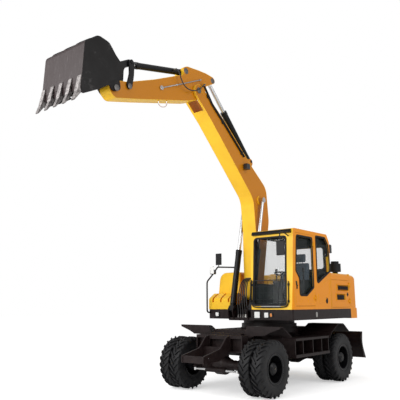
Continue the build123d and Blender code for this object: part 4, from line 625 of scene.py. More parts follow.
hoses = {
    "footRadius": 0.012,
    "footCount": 5,
    "footTopPitch": 0.033,
    "footLowPitch": 0.062,
    "footLength": 1.003,
    "footRoute": [  # x, z from the slew axis, share of the way from the top's pitch to the foot's
        (0.520, 2.205, 0.00), (0.640, 2.205, 0.00), (0.755, 2.105, 0.20), (0.830, 1.900, 0.55),
        (0.848, 1.690, 0.85), (0.810, 1.510, 1.00), (0.810, 1.384, 1.00)],
    "footBlend": [(0.640, 2.205), (0.810, 1.500)],  # x, z: leaves the boom, joins the deck
    "footWhite": 3,  # the first hose with a white lower union
    "crossingRadius": 0.011,
    "crossingLength": 1.137,
    "crossingRoute": [  # s, n along the arm, y from the boom's plane
        (0.560, 0.417, 0.095), (0.560, 0.417, 0.150), (0.556, 0.368, 0.194), (0.549, 0.292, 0.204),
        (0.535, 0.196, 0.205), (0.500, 0.110, 0.205), (0.432, 0.038, 0.205), (0.330, -0.006, 0.205),
        (0.200, -0.020, 0.205), (0.055, 0.005, 0.205), (-0.080, 0.060, 0.205), (-0.190, 0.120, 0.205)],
    "crossingBlend": [(0.200, -0.020, 0.205), (-0.110, 0.076, 0.205)],  # leaves the arm, joins the boom
    "loopRadius": 0.007,
    "loopLength": 0.370,
    "loopY": 0.060,
    "loopRoute": [  # s, n along the arm
        (1.160, -0.202), (1.160, -0.258), (1.118, -0.300), (1.045, -0.312), (0.968, -0.298),
        (0.930, -0.258), (0.930, -0.202)],
    "unionSteps": [(-0.004, 0.022, 1.75, 6), (0.020, 0.062, 1.32, 18)],  # from, to, times radius, sides
}
gear = {  # the members' lines at rest: angle above level in degrees, half width
    "boomAngle": 62.4,
    "armAngle": -16.4,
    "boomHalf": 0.170,
    "armHalf": 0.120,
}


def alongMember(joint, degrees, s, n, y):
    # s along a member from its pivot, n above its line, y from the boom's plane
    pivot = pin(joint)
    a = math.radians(degrees)
    return at(pivot.x + s * math.cos(a) - n * math.sin(a), boomY + y,
              pivot.z + s * math.sin(a) + n * math.cos(a))


def onBoom(s, n, y):
    return alongMember("boom_lift", gear["boomAngle"], s, n, y)


def onArm(s, n, y):
    return alongMember("arm_crowd", gear["armAngle"], s, n, y)


def splinePoints(points):
    # The points of the smooth line whose control points these are
    route = smoothCurve("route", points, 10)
    bpy.context.view_layer.update()
    line = [v.co.copy() for v in bpy.data.meshes.new_from_object(route).vertices]
    bpy.data.objects.remove(route)
    return line


def tubeAlong(name, line, radius, material, sides=14):
    # Round tube whose rings turn as little as they can along the line
    rings = []
    across = (line[1] - line[0]).orthogonal().normalized()
    for k, p in enumerate(line):
        way = (line[min(k + 1, len(line) - 1)] - line[max(k - 1, 0)]).normalized()
        across = (across - way * across.dot(way)).normalized()
        up = way.cross(across)
        rings += [p + (across * c + up * s) * radius for c, s in circle(sides)]
    ends = [list(range(sides))[::-1], [len(rings) - sides + i for i in range(sides)]]
    mesh = bpy.data.meshes.new(name)
    mesh.from_pydata([tuple(p) for p in rings], [], ends + ringFaces(len(line), sides))
    mesh.polygons.foreach_set("use_smooth", [True] * len(mesh.polygons))
    mesh.materials.append(material)
    return placed(name, mesh)


def union(name, start, way, radius, body, material):
    # Hexagon nut and ferrule where a hose ends
    way = way.normalized()
    shape = Builder()
    for low, high, size, sides in hoses["unionSteps"]:
        shape.rod(start + way * low, start + way * high, radius * size, sides)
    shape.finish(name, material, body, bevel=0.001, segments=1)


def hose(name, kind, node, route, material):
    # A cord on its smooth line, in place of the frame's own hose
    line = splinePoints(route)
    made = tubeAlong(name, line, hoses[kind + "Radius"], material)
    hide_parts(node)
    return made


blendFrom, blendTo = (tuple(at(x, boomY, z)) for x, z in hoses["footBlend"])
for index in range(hoses["footCount"]):
    place = index - (hoses["footCount"] - 1) / 2
    route = []
    for x, z, share in hoses["footRoute"]:
        pitch = hoses["footTopPitch"] + share * (hoses["footLowPitch"] - hoses["footTopPitch"])
        route.append(at(x, boomY + place * pitch, z))
    number = str(index + 1)
    footHose = hose("footHose" + number, "foot", "foot_hoses", route, hoseRubber)
    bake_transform(footHose)
    union("footUnionTop" + number, route[0], Vector((1, 0, 0)), hoses["footRadius"], "boom", pinSteel)
    union("footUnionLow" + number, route[-1], Vector((0, 0, 1)), hoses["footRadius"], "upper",
          whiteFitting if index >= hoses["footWhite"] else pinSteel)

route = [onArm(*place) for place in hoses["crossingRoute"]]
crossingHose = hose("crossingHose", "crossing", "crossing_hose", route, hoseRubber)
blendFrom, blendTo = (tuple(onArm(*place)) for place in hoses["crossingBlend"])
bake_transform(crossingHose)
union("crossingUnionTop", route[0], alongY, hoses["crossingRadius"], "bucket_barrel", pinSteel)
union("crossingUnionLow", route[-1], route[-2] - route[-1], hoses["crossingRadius"], "boom", pinSteel)

route = [onArm(s, n, hoses["loopY"]) for s, n in hoses["loopRoute"]]
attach(hose("loopHose", "loop", "loop_hose", route, pinkHose), "arm")
for name, end, inner in (("loopUnionFront", route[0], route[1]), ("loopUnionRear", route[-1], route[-2])):
    union(name, end, inner - end, hoses["loopRadius"], "arm", chrome)
print("hoses made")

# Tyres

tyre = {
    "width": 0.245,
    "pitch": 0.268,
    "centreY": 0.958,
    "section": [  # radius, y as a share of the half width, from the bead to the tread's middle
        (0.254, 0.80), (0.274, 0.83), (0.300, 0.90), (0.330, 0.97), (0.365, 1.0), (0.400, 0.995),
        (0.432, 0.965), (0.458, 0.91), (0.474, 0.82), (0.478, 0.60), (0.480, 0.0)],
    "wallRings": (0.318, 0.329),  # radii of the two fine rings on each side wall
    "wallRingY": 0.943,
    "wallRing": [(0.0, 0.0), (0.002, 0.003), (0.005, 0.003), (0.007, 0.0)],  # radius and y added
    "lugs": 24,
    "lugLean": 13.0,
    "lugStations": [  # y share, outer radius, sunk radius, share of the lean, half width in radians
        (0.07, 0.508, 0.472, 0.00, 0.040), (0.40, 0.509, 0.472, 0.42, 0.044),
        (0.74, 0.506, 0.468, 0.80, 0.052), (0.93, 0.489, 0.444, 0.98, 0.060),
        (1.00, 0.452, 0.428, 1.02, 0.060), (1.005, 0.425, 0.410, 1.02, 0.052)],
    "lugTaper": 0.82,
    "sides": 96,
}


def tyreCarcass(name, centre, body):
    half = tyre["width"] / 2
    side = [(radius, share * half) for radius, share in tyre["section"]]
    shape = Builder()
    shape.lathe(side + [(radius, -y) for radius, y in reversed(side[:-1])], centre, alongY, tyre["sides"])
    for radius in tyre["wallRings"]:
        for way in (1, -1):
            wallY = tyre["wallRingY"] * half
            rows = [(radius + grow, way * (wallY + out)) for grow, out in tyre["wallRing"]]
            shape.lathe(rows, centre, alongY, tyre["sides"])
    shape.finish(name + "Carcass", tyreRubber, body, smooth=True)


def tyreLugs(name, centre, body):
    # Traction bars from near the middle line to the shoulder, left and right ones in turn
    shape = Builder()
    stations = tyre["lugStations"]
    taper = tyre["lugTaper"]
    lean = math.radians(tyre["lugLean"])
    faces = [[0, 1, 2, 3], [4 * len(stations) - 1 - i for i in range(4)]] + ringFaces(len(stations), 4)
    for index in range(tyre["lugs"]):
        for side in (1, -1):
            middle = 2 * math.pi * (index + (0.5 if side == 1 else 0.0)) / tyre["lugs"]
            points = []
            for share, outer, sunk, leanShare, width in stations:
                for radius, spread in ((outer, -taper), (outer, taper), (sunk, 1.0), (sunk, -1.0)):
                    a = middle + lean * leanShare + spread * width
                    points.append(centre + Vector((radius * math.cos(a), side * share * tyre["width"] / 2,
                                                   radius * math.sin(a))))
            shape.add(points, faces)
    return shape.finish(name + "Lugs", tyreRubber, body, bevel=0.003, segments=1)


wheel = {
    "ring": [(0.279, -0.024), (0.279, 0.0), (0.268, 0.003), (0.250, 0.0), (0.244, -0.012)],
    "ringY": 0.24055,  # from the twins' middle, as discY and hubY
    "nuts": 10,
    "nutCircle": 0.205,
    "discY": 0.014,
    "nutSteps": [(0.022, 0.017, 6), (0.036, 0.010, 10)],  # height, radius, sides
    "studs": 8,
    "studCircle": 0.052,
    "hubY": 0.222,
    "stud": (0.009, 0.009, 6),
    "cap": (0.012, 0.022, 16),
}


def wheelTrim(name, axle, side, body):
    # Lock ring, wheel nuts and hub studs on the outer rim
    faceY = side * (tyre["centreY"] + wheel["ringY"])
    ring = Builder()
    ring.lathe([(radius, faceY + side * out) for radius, out in wheel["ring"]], axle, alongY, sides=72)
    ring.finish(name + "LockRing", blackPaint, body, smooth=True)
    nuts = Builder()

    def addNut(y, across, around, height, radius, sides):
        place = axle + Vector((across * around[0], side * (tyre["centreY"] + y), across * around[1]))
        nuts.rod(place, place + alongY * side * height, radius, sides)

    for around in circle(wheel["nuts"]):
        for step in wheel["nutSteps"]:
            addNut(wheel["discY"], wheel["nutCircle"], around, *step)
    for around in circle(wheel["studs"], 0.5):
        addNut(wheel["hubY"], wheel["studCircle"], around, *wheel["stud"])
    addNut(wheel["hubY"], 0.0, (0.0, 0.0), *wheel["cap"])
    nuts.finish(name + "Nuts", castIron, body, bevel=0.0015, segments=1)


for end, axleX in (("front", frontAxleX), ("rear", rearAxleX)):
    for sideName, side in (("left", 1), ("right", -1)):
        body = "wheel_%s_%s" % (end, sideName)
        corner = end + sideName.capitalize()
        for slot, shift in (("Inner", -0.5), ("Outer", 0.5)):
            centre = at(axleX, side * (tyre["centreY"] + shift * tyre["pitch"]), axleZ)
            tyreCarcass(corner + slot, centre, body)
            lugs = tyreLugs(corner + slot, centre, body)
        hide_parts("tyres_%s_%s" % (end, sideName))
        wheelTrim(corner, at(axleX, 0, axleZ), side, body)
print("tyres and wheel trim made")

# Cab trim

cab = {
    "frontX": 1.018,
    "frontLean": 0.095,
    "roofZ": 3.16,
    "rightY": 0.207,
    "sealInside": 0.030,
    "sealOutside": 0.010,
    "sealSunk": 0.004,
    "sealProud": 0.006,
    "screen": [(0.275, 1.630, 0.070), (1.050, 1.630, 0.070), (1.050, 3.010, 0.070), (0.275, 3.010, 0.070)],
}
windows = {  # seal: body, y of the pane's plane, corners (x, z, radius)
    "doorSeal": ("cab_door", cabLeftY, [
        (0.130, 3.030, 0.040), (0.800, 3.030, 0.060), (0.870, 2.310, 0.050), (0.735, 2.165, 0.060),
        (0.730, 1.820, 0.060), (0.440, 1.820, 0.080), (0.130, 1.990, 0.060)]),
    "quarterSeal": ("upper", cabLeftY, [
        (-0.020, 3.085, 0.040), (-0.455, 3.085, 0.060), (-0.600, 2.930, 0.080), (-0.650, 2.480, 0.060),
        (-0.640, 2.350, 0.050), (-0.020, 2.065, 0.050)]),
    "rightSeal": ("upper", cab["rightY"], [
        (0.820, 2.050, 0.050), (0.760, 3.060, 0.060), (-0.460, 3.060, 0.060), (-0.540, 2.450, 0.060),
        (-0.500, 2.050, 0.050)]),
}
deckRun = cab["roofZ"] - deckTopZ


def frontX(z):
    return cab["frontX"] - cab["frontLean"] * (z - deckTopZ) / deckRun


def onFront(points):
    # (y, z) places on the leaning front
    return [at(frontX(p.y), p.x, p.y) for p in points]


def sealBand(name, body, rows, place, normal):
    outline = roundedOutline(rows)
    edges = [place(grown(outline, by)) for by in (cab["sealOutside"], -cab["sealInside"])]
    shape = Builder()
    shape.band(*edges, normal, -cab["sealSunk"], cab["sealProud"])
    shape.finish(name, rubberSeal, body, bevel=0.002, segments=1)


def block(name, low, high, material, body, bevel, segments=2):
    shape = Builder()
    shape.box(low, high)
    shape.finish(name, material, body, bevel=bevel, segments=segments)


def plate(name, outline, normal, low, high, material, body, bevel):
    shape = Builder()
    shape.prism(outline, normal, low, high)
    shape.finish(name, material, body, bevel=bevel)


sealBand("screenSeal", "upper", cab["screen"], onFront, (deckRun, 0, cab["frontLean"]))
for name, (body, y, rows) in windows.items():
    sealBand(name, body, rows, lambda points: onSide(points, y), (0, 1 if y == cabLeftY else -1, 0))

# Pressed ribs on the door and the quarter panel, (x, z) from the slew axis
ribSize = {"radius": 0.009, "sunk": 0.003}
ribs = {
    "doorRibFront": ("cab_door", [
        (0.896, 1.840), (0.888, 1.700), (0.860, 1.672), (0.670, 1.668), (0.650, 1.735)]),
    "doorRibRear": ("cab_door", [
        (0.395, 1.750), (0.380, 1.690), (0.350, 1.662), (0.165, 1.664), (0.122, 1.690), (0.110, 1.890)]),
    "doorRibSlope": ("cab_door", [(0.420, 1.768), (0.270, 1.835), (0.128, 1.925)]),
    "quarterRib": ("upper", [
        (-0.062, 1.870), (-0.056, 1.720), (-0.075, 1.675), (-0.240, 1.672), (-0.300, 1.700),
        (-0.540, 1.855), (-0.575, 1.920), (-0.590, 2.170), (-0.560, 2.205), (-0.290, 2.055)]),
}
for name, (body, route) in ribs.items():
    line = [at(x, cabLeftY - ribSize["sunk"], z) for x, z in route]
    curveTube(name, line, ribSize["radius"], cabPaint, body, sides=2)

# Dark frame tube round the foot of the windscreen, with its clamps, and the bright step below
guard = {
    "radius": 0.011,
    "ahead": 0.020,
    "route": [
        (0.236, 2.150), (0.236, 1.860), (0.240, 1.700), (0.275, 1.610), (0.360, 1.590), (0.660, 1.588),
        (0.980, 1.592), (1.075, 1.612), (1.104, 1.700), (1.108, 1.860), (1.106, 2.100)],
    "clamps": [(1.106, 2.035), (1.106, 1.710), (0.238, 2.045), (0.238, 1.710)],
    "clampLow": (-0.012, -0.016, -0.022),
    "clampHigh": (0.034, 0.016, 0.022),
    "bolt": (0.030, 0.046, 0.011),  # from, to, radius
    "step": [(-0.004, 0.480, 1.604), (0.022, 0.925, 1.620)],
    "stepZ": 1.60,
}
curveTube("guardTube", [at(frontX(z) + guard["ahead"], y, z) for y, z in guard["route"]], guard["radius"],
          blackPaint, "upper")
clamps = Builder()
for y, z in guard["clamps"]:
    place = at(frontX(z), y, z)
    boltFrom, boltTo, boltRadius = guard["bolt"]
    clamps.box(place + Vector(guard["clampLow"]), place + Vector(guard["clampHigh"]))
    clamps.rod(place + Vector((boltFrom, 0, 0)), place + Vector((boltTo, 0, 0)), boltRadius, sides=12)
clamps.finish("guardClamps", blackPaint, "upper", bevel=0.003)
low, high = (at(frontX(guard["stepZ"]) + x, y, z) for x, y, z in guard["step"])
block("screenStep", low, high, greyPipe, "upper", 0.003)

# Door handle recess, vent oval and the reflector on the band
sidePlates = {
    "handle": [(0.868, 2.105), (0.830, 2.105), (0.806, 1.955), (0.844, 1.955)],
    "handleDepth": (-0.010, 0.002),
    "bar": [(0.812, 0.002, 2.000), (0.850, 0.012, 2.030)],
    "vent": (-0.432, 1.728, 0.052, 0.066),  # centre x and z, half axes
    "ventDepth": (-0.004, 0.003),
    "band": [(0.098, 1.388, 0.035), (0.098, 1.496, 0.035), (0.026, 1.496, 0.035), (0.026, 1.388, 0.035)],
    "bandDepth": (-0.002, 0.006),
}
handle = Builder()
handle.prism([at(x, cabLeftY, z) for x, z in sidePlates["handle"]], alongY, *sidePlates["handleDepth"])
handle.box(*(at(x, cabLeftY + out, z) for x, out, z in sidePlates["bar"]))
handle.finish("handlePocket", blackPlastic, "cab_door", bevel=0.004)
x, z, halfX, halfZ = sidePlates["vent"]
plate("ventOval", [at(x + halfX * c, cabLeftY, z + halfZ * s) for c, s in circle(28)], alongY,
      *sidePlates["ventDepth"], rubberSeal, "upper", 0.002)
plate("bandReflector", onSide(roundedOutline(sidePlates["band"]), cabLeftY), alongY,
      *sidePlates["bandDepth"], greyPipe, "upper", 0.003)

# Roof details: aerial foot, hooks and rain rail
roof = {
    "aerial": (0.520, 1.100, 3.150),
    "aerialSteps": [(0.040, 0.012, 12), (0.002, 0.024, 16)],  # height, radius, sides
    "hooks": {"hookFront": (0.30, 0.33), "hookRear": (-0.52, 1.02), "hookRearRight": (-0.52, 0.36)},
    "hookLine": [(-0.030, 3.150), (-0.030, 3.190), (0.0, 3.205), (0.030, 3.190), (0.030, 3.150)],
    "hookRadius": 0.007,
    "rail": [(0.905, 0.052, 3.122), (0.700, 0.022, 3.112), (0.100, 0.014, 3.112), (-0.350, 0.020, 3.112),
             (-0.500, 0.040, 3.100)],  # x, inwards from the side, z
    "railRadius": 0.010,
}
foot = at(*roof["aerial"])
aerial = Builder()
for height, radius, sides in roof["aerialSteps"]:
    aerial.rod(foot, foot + Vector((0, 0, height)), radius, sides)
aerial.finish("aerialFoot", yellowPaint, "upper", bevel=0.002)
for name, (x, y) in roof["hooks"].items():
    line = [at(x, y + across, z) for across, z in roof["hookLine"]]
    curveTube(name, line, roof["hookRadius"], yellowPaint, "upper")
curveTube("rainRail", [at(x, cabLeftY - inwards, z) for x, inwards, z in roof["rail"]], roof["railRadius"],
          cabPaint, "upper")
print("cab trim made")

# Pipes along boom and arm

pipes = {
    "radius": 0.0119,
    "stand": 0.015,
    "topY": (-0.050, 0.0, 0.050),
    "topRoute": [(2.560, 1.122), (1.990, 1.413), (1.290, 1.133), (0.560, 0.640)],
    "topRounds": (0.360, 0.530),
    "flankShift": (0.0, -0.036),
    "flankRoute": [(4.600, 0.225), (4.200, 0.308), (3.700, 0.545), (2.900, 0.895)],
    "flankRounds": (0.220, 0.600),
    "armRoute": [(1.080, 0.036), (0.500, 0.122), (-0.060, 0.213), (-0.200, 0.232)],
    "armRounds": (1.500, 0.500),
    "clips": [(4.380, 0.240), (3.780, 0.480), (3.000, 0.830)],
    "clipSteps": [(0.0435, 0.170, 0.1925, 24), (0.012, 0.190, 0.203, 6)],  # radius, y from, y to, sides
    "unions": [(1.080, 0.036, 0.042, 0.151), (0.620, 0.104, 0.020, 0.147), (-0.150, 0.225, 0.020, 0.147)],
    "unionCap": (0.62, 0.010),  # share of the radius, height
}


def roundedRoute(points, rounds, steps=8):
    # Open route of a bent steel pipe, its corners turned with these radii
    line = [points[0]]
    for k, radius in enumerate(rounds):
        corner = points[k + 1]
        back = (points[k] - corner).normalized()
        ahead = (points[k + 2] - corner).normalized()
        half = back.angle(ahead) / 2
        run = radius / math.tan(half)
        centre = corner + (back + ahead).normalized() * (radius / math.sin(half))
        start, end = corner + back * run - centre, corner + ahead * run - centre
        start, end = start.normalized(), end.normalized()
        line += [centre + start.slerp(end, i / steps) * radius for i in range(steps + 1)]
    return line + [points[-1]]


def steelPipe(name, body, place, kind, y, shift, material):
    points = [place(s, n + shift, y) for s, n in pipes[kind + "Route"]]
    line = roundedRoute(points, pipes[kind + "Rounds"])
    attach(tubeAlong(name, line, pipes["radius"], material), body)


for index, y in enumerate(pipes["topY"]):
    steelPipe("boomTopPipe%d" % (index + 1), "boom", onBoom, "top", y, 0.0, blackPaint)
for index, shift in enumerate(pipes["flankShift"]):
    y = gear["boomHalf"] + pipes["stand"]
    steelPipe("boomFlankPipe%d" % (index + 1), "boom", onBoom, "flank", y, shift, blackPaint)
steelPipe("armPipe", "arm", onArm, "arm", gear["armHalf"] + pipes["stand"], 0.0, greyPipe)
clips = Builder()
for s, n in pipes["clips"]:
    for radius, low, high, sides in pipes["clipSteps"]:
        clips.rod(onBoom(s, n, low), onBoom(s, n, high), radius, sides)
clips.finish("boomPipeClips", blackPaint, "boom", bevel=0.003)
unions = Builder()
for s, n, radius, top in pipes["unions"]:
    share, height = pipes["unionCap"]
    unions.rod(onArm(s, n, gear["armHalf"] - 0.004), onArm(s, n, top), radius, sides=28)
    unions.rod(onArm(s, n, top), onArm(s, n, top + height), share * radius, sides=6)
unions.finish("armPipeUnions", chrome, "arm", bevel=0.003)
print("pipes made")

# Pins of the digging gear

pins = {
    "heads": {  # body, place on the member, y from the boom's plane, radius
        "boomTipPin": ("boom", onBoom(4.550, 0, 0), 0.182, 0.062),
        "armTailPin": ("arm", onArm(-0.609, 0.227, 0), 0.120, 0.062),
        "bucketBasePin": ("arm", onArm(0.226, 0.400, 0), 0.120, 0.064),
        "sideLinkPin": ("arm", onArm(1.928, 0.037, 0), 0.161, 0.050),
        "bucketPin": ("arm", onArm(2.262, 0, 0), 0.174, 0.056),
    },
    "sunk": 0.002,
    "proud": 0.007,
    "crown": 0.80,  # flat middle of a head, as a share of its radius
    "shoulder": 0.004,
    "bolts": 3,
    "boltRadius": 0.009,
    "boltCircle": 0.55,
    "boltProud": 0.006,
}
for name, (body, place, y, radius) in pins["heads"].items():
    heads = Builder()
    for side in (1, -1):
        face = place + alongY * side * (y - pins["sunk"])
        proud = side * pins["proud"]
        heads.lathe([(0.001, proud), (pins["crown"] * radius, proud), (radius, side * pins["shoulder"]),
                     (radius, 0.0)], face, alongY, sides=32)
        reach = pins["boltCircle"] * radius
        for c, s in circle(pins["bolts"], 0.25):
            spot = face + Vector((reach * c, proud, reach * s))
            heads.rod(spot - alongY * side * 0.002, spot + alongY * side * pins["boltProud"],
                      pins["boltRadius"], sides=6)
    heads.finish(name, pinSteel, body, bevel=0.001, segments=1)

# Beads where the flanks of boom and arm meet their other plates, in a bright yellow that is a painted
# highlight along these edges
beadSize = {
    "radius": 0.0045,
    "shortest": 0.012,
    "flankNormal": 0.98,  # how far the flank looks across, at least
    "plateNormal": 0.2,  # how far the plate beside it does, at most
    "reach": 0.001,
}
for name in ("boom", "arm"):
    mesh = bmesh.new()
    mesh.from_mesh(nodes[name].data)
    bmesh.ops.remove_doubles(mesh, verts=mesh.verts, dist=1e-5)
    beads = Builder()
    for edge in mesh.edges:
        if len(edge.link_faces) != 2 or edge.calc_length() < beadSize["shortest"]:
            continue
        flatter, steeper = sorted(abs(face.normal.y) for face in edge.link_faces)
        start, end = (vert.co for vert in edge.verts)
        away = abs(abs((start.y + end.y) / 2 - boomY) - gear[name + "Half"])
        if (flatter < beadSize["plateNormal"] and steeper > beadSize["flankNormal"]
                and away < beadSize["reach"]):
            beads.rod(start, end, beadSize["radius"], sides=6)
    mesh.free()
    # bright yellow beads: painted highlight along the flank edges
    beads.finish(name + "EdgeBeads", edgeHighlightPaint, name)
print("pins and edges made")

# Lamps and mirrors

lamps = {
    "round": 0.012,
    "margin": 0.010,
    "depth": (-0.004, 0.007),
    "deck": [  # name, material, X of the block's front, y from, y to, z from, z to
        ("deckLensOuter", whiteLens, 1.042, 0.310, 0.455, 1.375, 1.515),
        ("deckLensInner", whiteLens, 1.042, 0.545, 0.655, 1.385, 1.500),
        ("deckLensAmber", amberLens, 1.042, 0.680, 0.740, 1.400, 1.485),
        ("deckLensRight", whiteLens, 0.632, -1.000, -0.900, 1.390, 1.490),
    ],
    "work": {"railLampLens": 1, "rearLampLens": -1},  # the way each one faces
    "workProud": 0.005,
    "workMargins": (0.010, 0.016, 0.014),  # at the sides, below, above
    "mirror": [(1.3265, 1.090, 2.600), (1.3310, 1.228, 2.842)],
}
for name, material, x, yFrom, yTo, zFrom, zTo in lamps["deck"]:
    gap, turn = lamps["margin"], lamps["round"]
    outline = roundedOutline([(yFrom + gap, zFrom + gap, turn), (yTo - gap, zFrom + gap, turn),
                              (yTo - gap, zTo - gap, turn), (yFrom + gap, zTo - gap, turn)])
    plate(name, [at(x, p.x, p.y) for p in outline], (1, 0, 0), *lamps["depth"], material, "upper", 0.004)
for name, way in lamps["work"].items():
    places = [v.co for v in nodes["work_lamps"].data.vertices if way * (v.co.x - slewX) > 0]
    low, high = (Vector([pick(p[k] for p in places) for k in range(3)]) for pick in (min, max))
    face = high.x if way == 1 else low.x
    rear, front = sorted((face, face + way * lamps["workProud"]))
    beside, below, above = lamps["workMargins"]
    block(name, (rear, low.y + beside, low.z + below), (front, high.y - beside, high.z - above), whiteLens,
          "upper", 0.002)
block("leftMirrorGlass", *(at(*place) for place in lamps["mirror"]), mirrorGlass, "upper", 0.001, 1)
print("lamps and mirrors made")

# Side doors of the engine bay: louvres and latches. The louvres' dark panel and slats are a painted shade for
# the openings between the slats

louvres = {
    "slats": 7,
    "proud": 0.001,
    "panel": 0.004,
    "slatProud": 0.014,
    "slat": [(0.0, -0.35), (1.0, -0.20), (1.0, -0.10), (0.0, 0.25)],  # shares of slatProud, of a step
    "rows": {  # x front, x rear, z low, z high from the slew axis
        "Upper": (-1.005, -1.505, 1.968, 2.050),
        "Lower": (-0.948, -1.284, 1.752, 1.852),
    },
    "latch": (-1.483, 1.868),
    "latchRows": [(0.001, 0.006), (0.020, 0.006), (0.026, 0.003), (0.038, 0.003), (0.044, 0.0)],
    "bar": (0.028, 0.008, 0.004, 0.013),  # half length, half height, y from, y to
}
for side, label in ((1, "Left"), (-1, "Right")):
    doorBody = "side_door_" + label.lower()
    face = side * (cabLeftY + louvres["proud"])
    for row, (xFront, xRear, zLow, zHigh) in louvres["rows"].items():
        inner, outer = sorted((face, face + side * louvres["panel"]))
        # dark panel and slats: painted shade where the louvre openings are
        panel = Builder()
        panel.box(at(xRear, inner, zLow), at(xFront, outer, zHigh))
        step = (zHigh - zLow) / louvres["slats"]
        for k in range(louvres["slats"]):
            z = zLow + (k + 0.5) * step
            panel.prism([at(xFront, face + side * out * louvres["slatProud"], z + up * step)
                         for out, up in louvres["slat"]], (-1, 0, 0), 0.0, xFront - xRear)
        panel.finish("louvre" + row + label, darkPaintAndLouvreShade, doorBody)
    x, z = louvres["latch"]
    halfX, halfZ, low, high = louvres["bar"]
    inner, outer = sorted((side * (cabLeftY + low), side * (cabLeftY + high)))
    latch = Builder()
    latch.lathe(louvres["latchRows"], at(x, side * cabLeftY, z), (0, side, 0), sides=32)
    latch.box(at(x - halfX, inner, z - halfZ), at(x + halfX, outer, z + halfZ))
    latch.finish("doorLatch" + label, blackPlastic, doorBody, bevel=0.001, segments=1)
print("louvres and latches made")

# Seat

seatSize = {
    "pads": {  # low corner, high corner from the slew axis, crown, lean backwards in degrees
        "seatPad": ((-0.235, 0.470, 1.985), (0.240, 0.910, 2.095), 0.018, 0.0),
        "backPad": ((-0.275, 0.480, 2.090), (-0.185, 0.900, 2.535), 0.018, 8.0),
        "headPad": ((-0.305, 0.570, 2.560), (-0.225, 0.810, 2.735), 0.014, 6.0),
    },
    "cuts": 11,
    "pull": 0.10,  # how far the corners draw in
    "edge": 0.62,  # thickness left at the seams, as a share
    "channel": (0.007, 0.5, 0.06),  # depth, place and width of the stitched channels
    "fill": 0.8,
    "boxes": [
        ((-0.220, 0.500, 1.860), (0.200, 0.880, 1.990)), ((-0.300, 0.470, 1.900), (-0.262, 0.910, 2.180))],
    "posts": (0.640, 0.740),  # y of the head rest's two posts
    "postEnds": [(-0.262, 2.480), (-0.268, 2.620)],
    "postRadius": 0.007,
}


def swollen(share, size, thin, crown):
    # Place on a pad for a corner of the cube, share from -1 to 1 along each of its axes
    beside, after = share[(thin + 1) % 3], share[(thin + 2) % 3]
    reach = (1 - abs(beside) ** 6) * (1 - abs(after) ** 6)
    place = Vector()
    for k in range(3):
        corner = abs(share[(k + 1) % 3]) ** 6 * abs(share[(k + 2) % 3]) ** 2
        place[k] = share[k] * size[k] / 2 * (1 - seatSize["pull"] * corner)
    place[thin] *= seatSize["edge"] + (1 - seatSize["edge"]) * max(reach, 0.0) ** 0.5
    depth, middle, width = seatSize["channel"]
    across = beside if thin == 0 else share[0]
    place[thin] -= math.copysign(depth * math.exp(-((abs(across) - middle) / width) ** 2), place[thin])
    place[thin] += math.copysign(crown * 0.3 * reach, place[thin])
    return place


def cushion(name, low, high, crown, lean):
    # Crowned pad: a rounded block whose faces swell between its edges
    shape = bmesh.new()
    bmesh.ops.create_cube(shape, size=1.0)
    bmesh.ops.subdivide_edges(shape, edges=shape.edges[:], cuts=seatSize["cuts"], use_grid_fill=True)
    size = [top - bottom for bottom, top in zip(low, high)]
    middle = (Vector(high) + Vector(low)) / 2
    turn = Matrix.Rotation(math.radians(-lean), 3, "Y")
    for v in shape.verts:
        v.co = at(*(middle + turn @ swollen([2 * c for c in v.co], size, size.index(min(size)), crown)))
    mesh = bpy.data.meshes.new(name)
    shape.to_mesh(mesh)
    shape.free()
    pad = placed(name, mesh)
    pad.modifiers.new("soft", "SUBSURF").render_levels = 1
    finishPiece(pad, seatCloth, "upper", smooth=True)
    return pad


pads = {name: cushion(name, *values) for name, values in seatSize["pads"].items()}
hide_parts("seat")
base = Builder()
for low, high in seatSize["boxes"]:
    base.box(at(*low), at(*high))
for y in seatSize["posts"]:
    start, end = (at(x, y, z) for x, z in seatSize["postEnds"])
    base.rod(start, end, seatSize["postRadius"], sides=12)
base.finish("seatBase", blackPlastic, "upper", bevel=0.012)
print("seat made")

# Floor and light

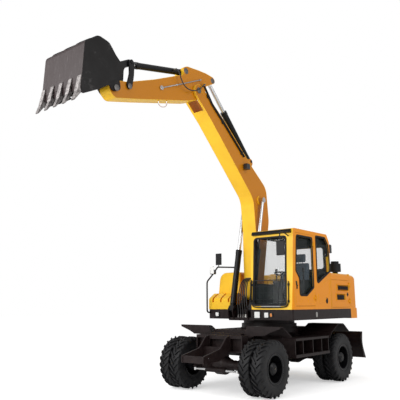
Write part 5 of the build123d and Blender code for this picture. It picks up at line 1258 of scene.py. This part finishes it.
light = {
    "world": 0.62,
    "frontLight": {"place": (9.0, -1.5, 5.0), "power": 520.0, "size": 6.0},
    "leftLight": {"place": (1.0, 9.0, 7.0), "power": 260.0, "size": 6.0},
    "aim": (0.5, 0, 2.2),
    "floor": (0.90, 0.90, 0.90),
    "floorHalf": 60,
    "floorGlow": 0.46,
}


def makeFloor():
    # Pale floor that glows for the camera only, so that it stays white and keeps the shadow
    half = light["floorHalf"]
    mesh = bpy.data.meshes.new("floor")
    corners = [(-half, -half, 0), (half, -half, 0), (half, half, 0), (-half, half, 0)]
    mesh.from_pydata(corners, [], [[0, 1, 2, 3]])
    material = bpy.data.materials.new("paleFloor")
    material.use_nodes = True
    tree = material.node_tree
    tree.nodes.clear()
    output, diffuse, glow, path, both = (tree.nodes.new("ShaderNode" + kind) for kind in (
        "OutputMaterial", "BsdfDiffuse", "Emission", "LightPath", "AddShader"))
    join(tree, light["floor"], diffuse.inputs["Color"])
    join(tree, (1, 1, 1), glow.inputs["Color"])
    seen = calculate(tree, "MULTIPLY", path.outputs["Is Camera Ray"], light["floorGlow"])
    tree.links.new(seen, glow.inputs["Strength"])
    tree.links.new(diffuse.outputs[0], both.inputs[0])
    tree.links.new(glow.outputs[0], both.inputs[1])
    tree.links.new(both.outputs[0], output.inputs["Surface"])
    mesh.materials.append(material)
    placed("floor", mesh)


def makeLight():
    # White surroundings for the camera and through glass, dimmer ones on the machine, two soft lamps
    world = bpy.data.worlds.new("studio")
    bpy.context.scene.world = world
    world.use_nodes = True
    tree = world.node_tree
    background = tree.nodes["Background"]
    join(tree, (1, 1, 1), background.inputs["Color"])
    path = tree.nodes.new("ShaderNodeLightPath")
    seen = calculate(tree, "MAXIMUM", path.outputs["Is Camera Ray"], path.outputs["Is Transmission Ray"])
    tree.links.new(ramp(tree, seen, 0.0, 1.0, light["world"], 1.0), background.inputs["Strength"])
    for name in ("frontLight", "leftLight"):
        data = bpy.data.lights.new(name, "AREA")
        data.energy = light[name]["power"]
        data.size = light[name]["size"]
        place = at(*light[name]["place"])
        turn = (at(*light["aim"]) - place).to_track_quat("-Z", "Y")
        placed(name, data).matrix_world = Matrix.Translation(place) @ turn.to_matrix().to_4x4()
    bpy.context.scene.view_settings.view_transform = "Standard"


makeFloor()
makeLight()
print("floor and light set")
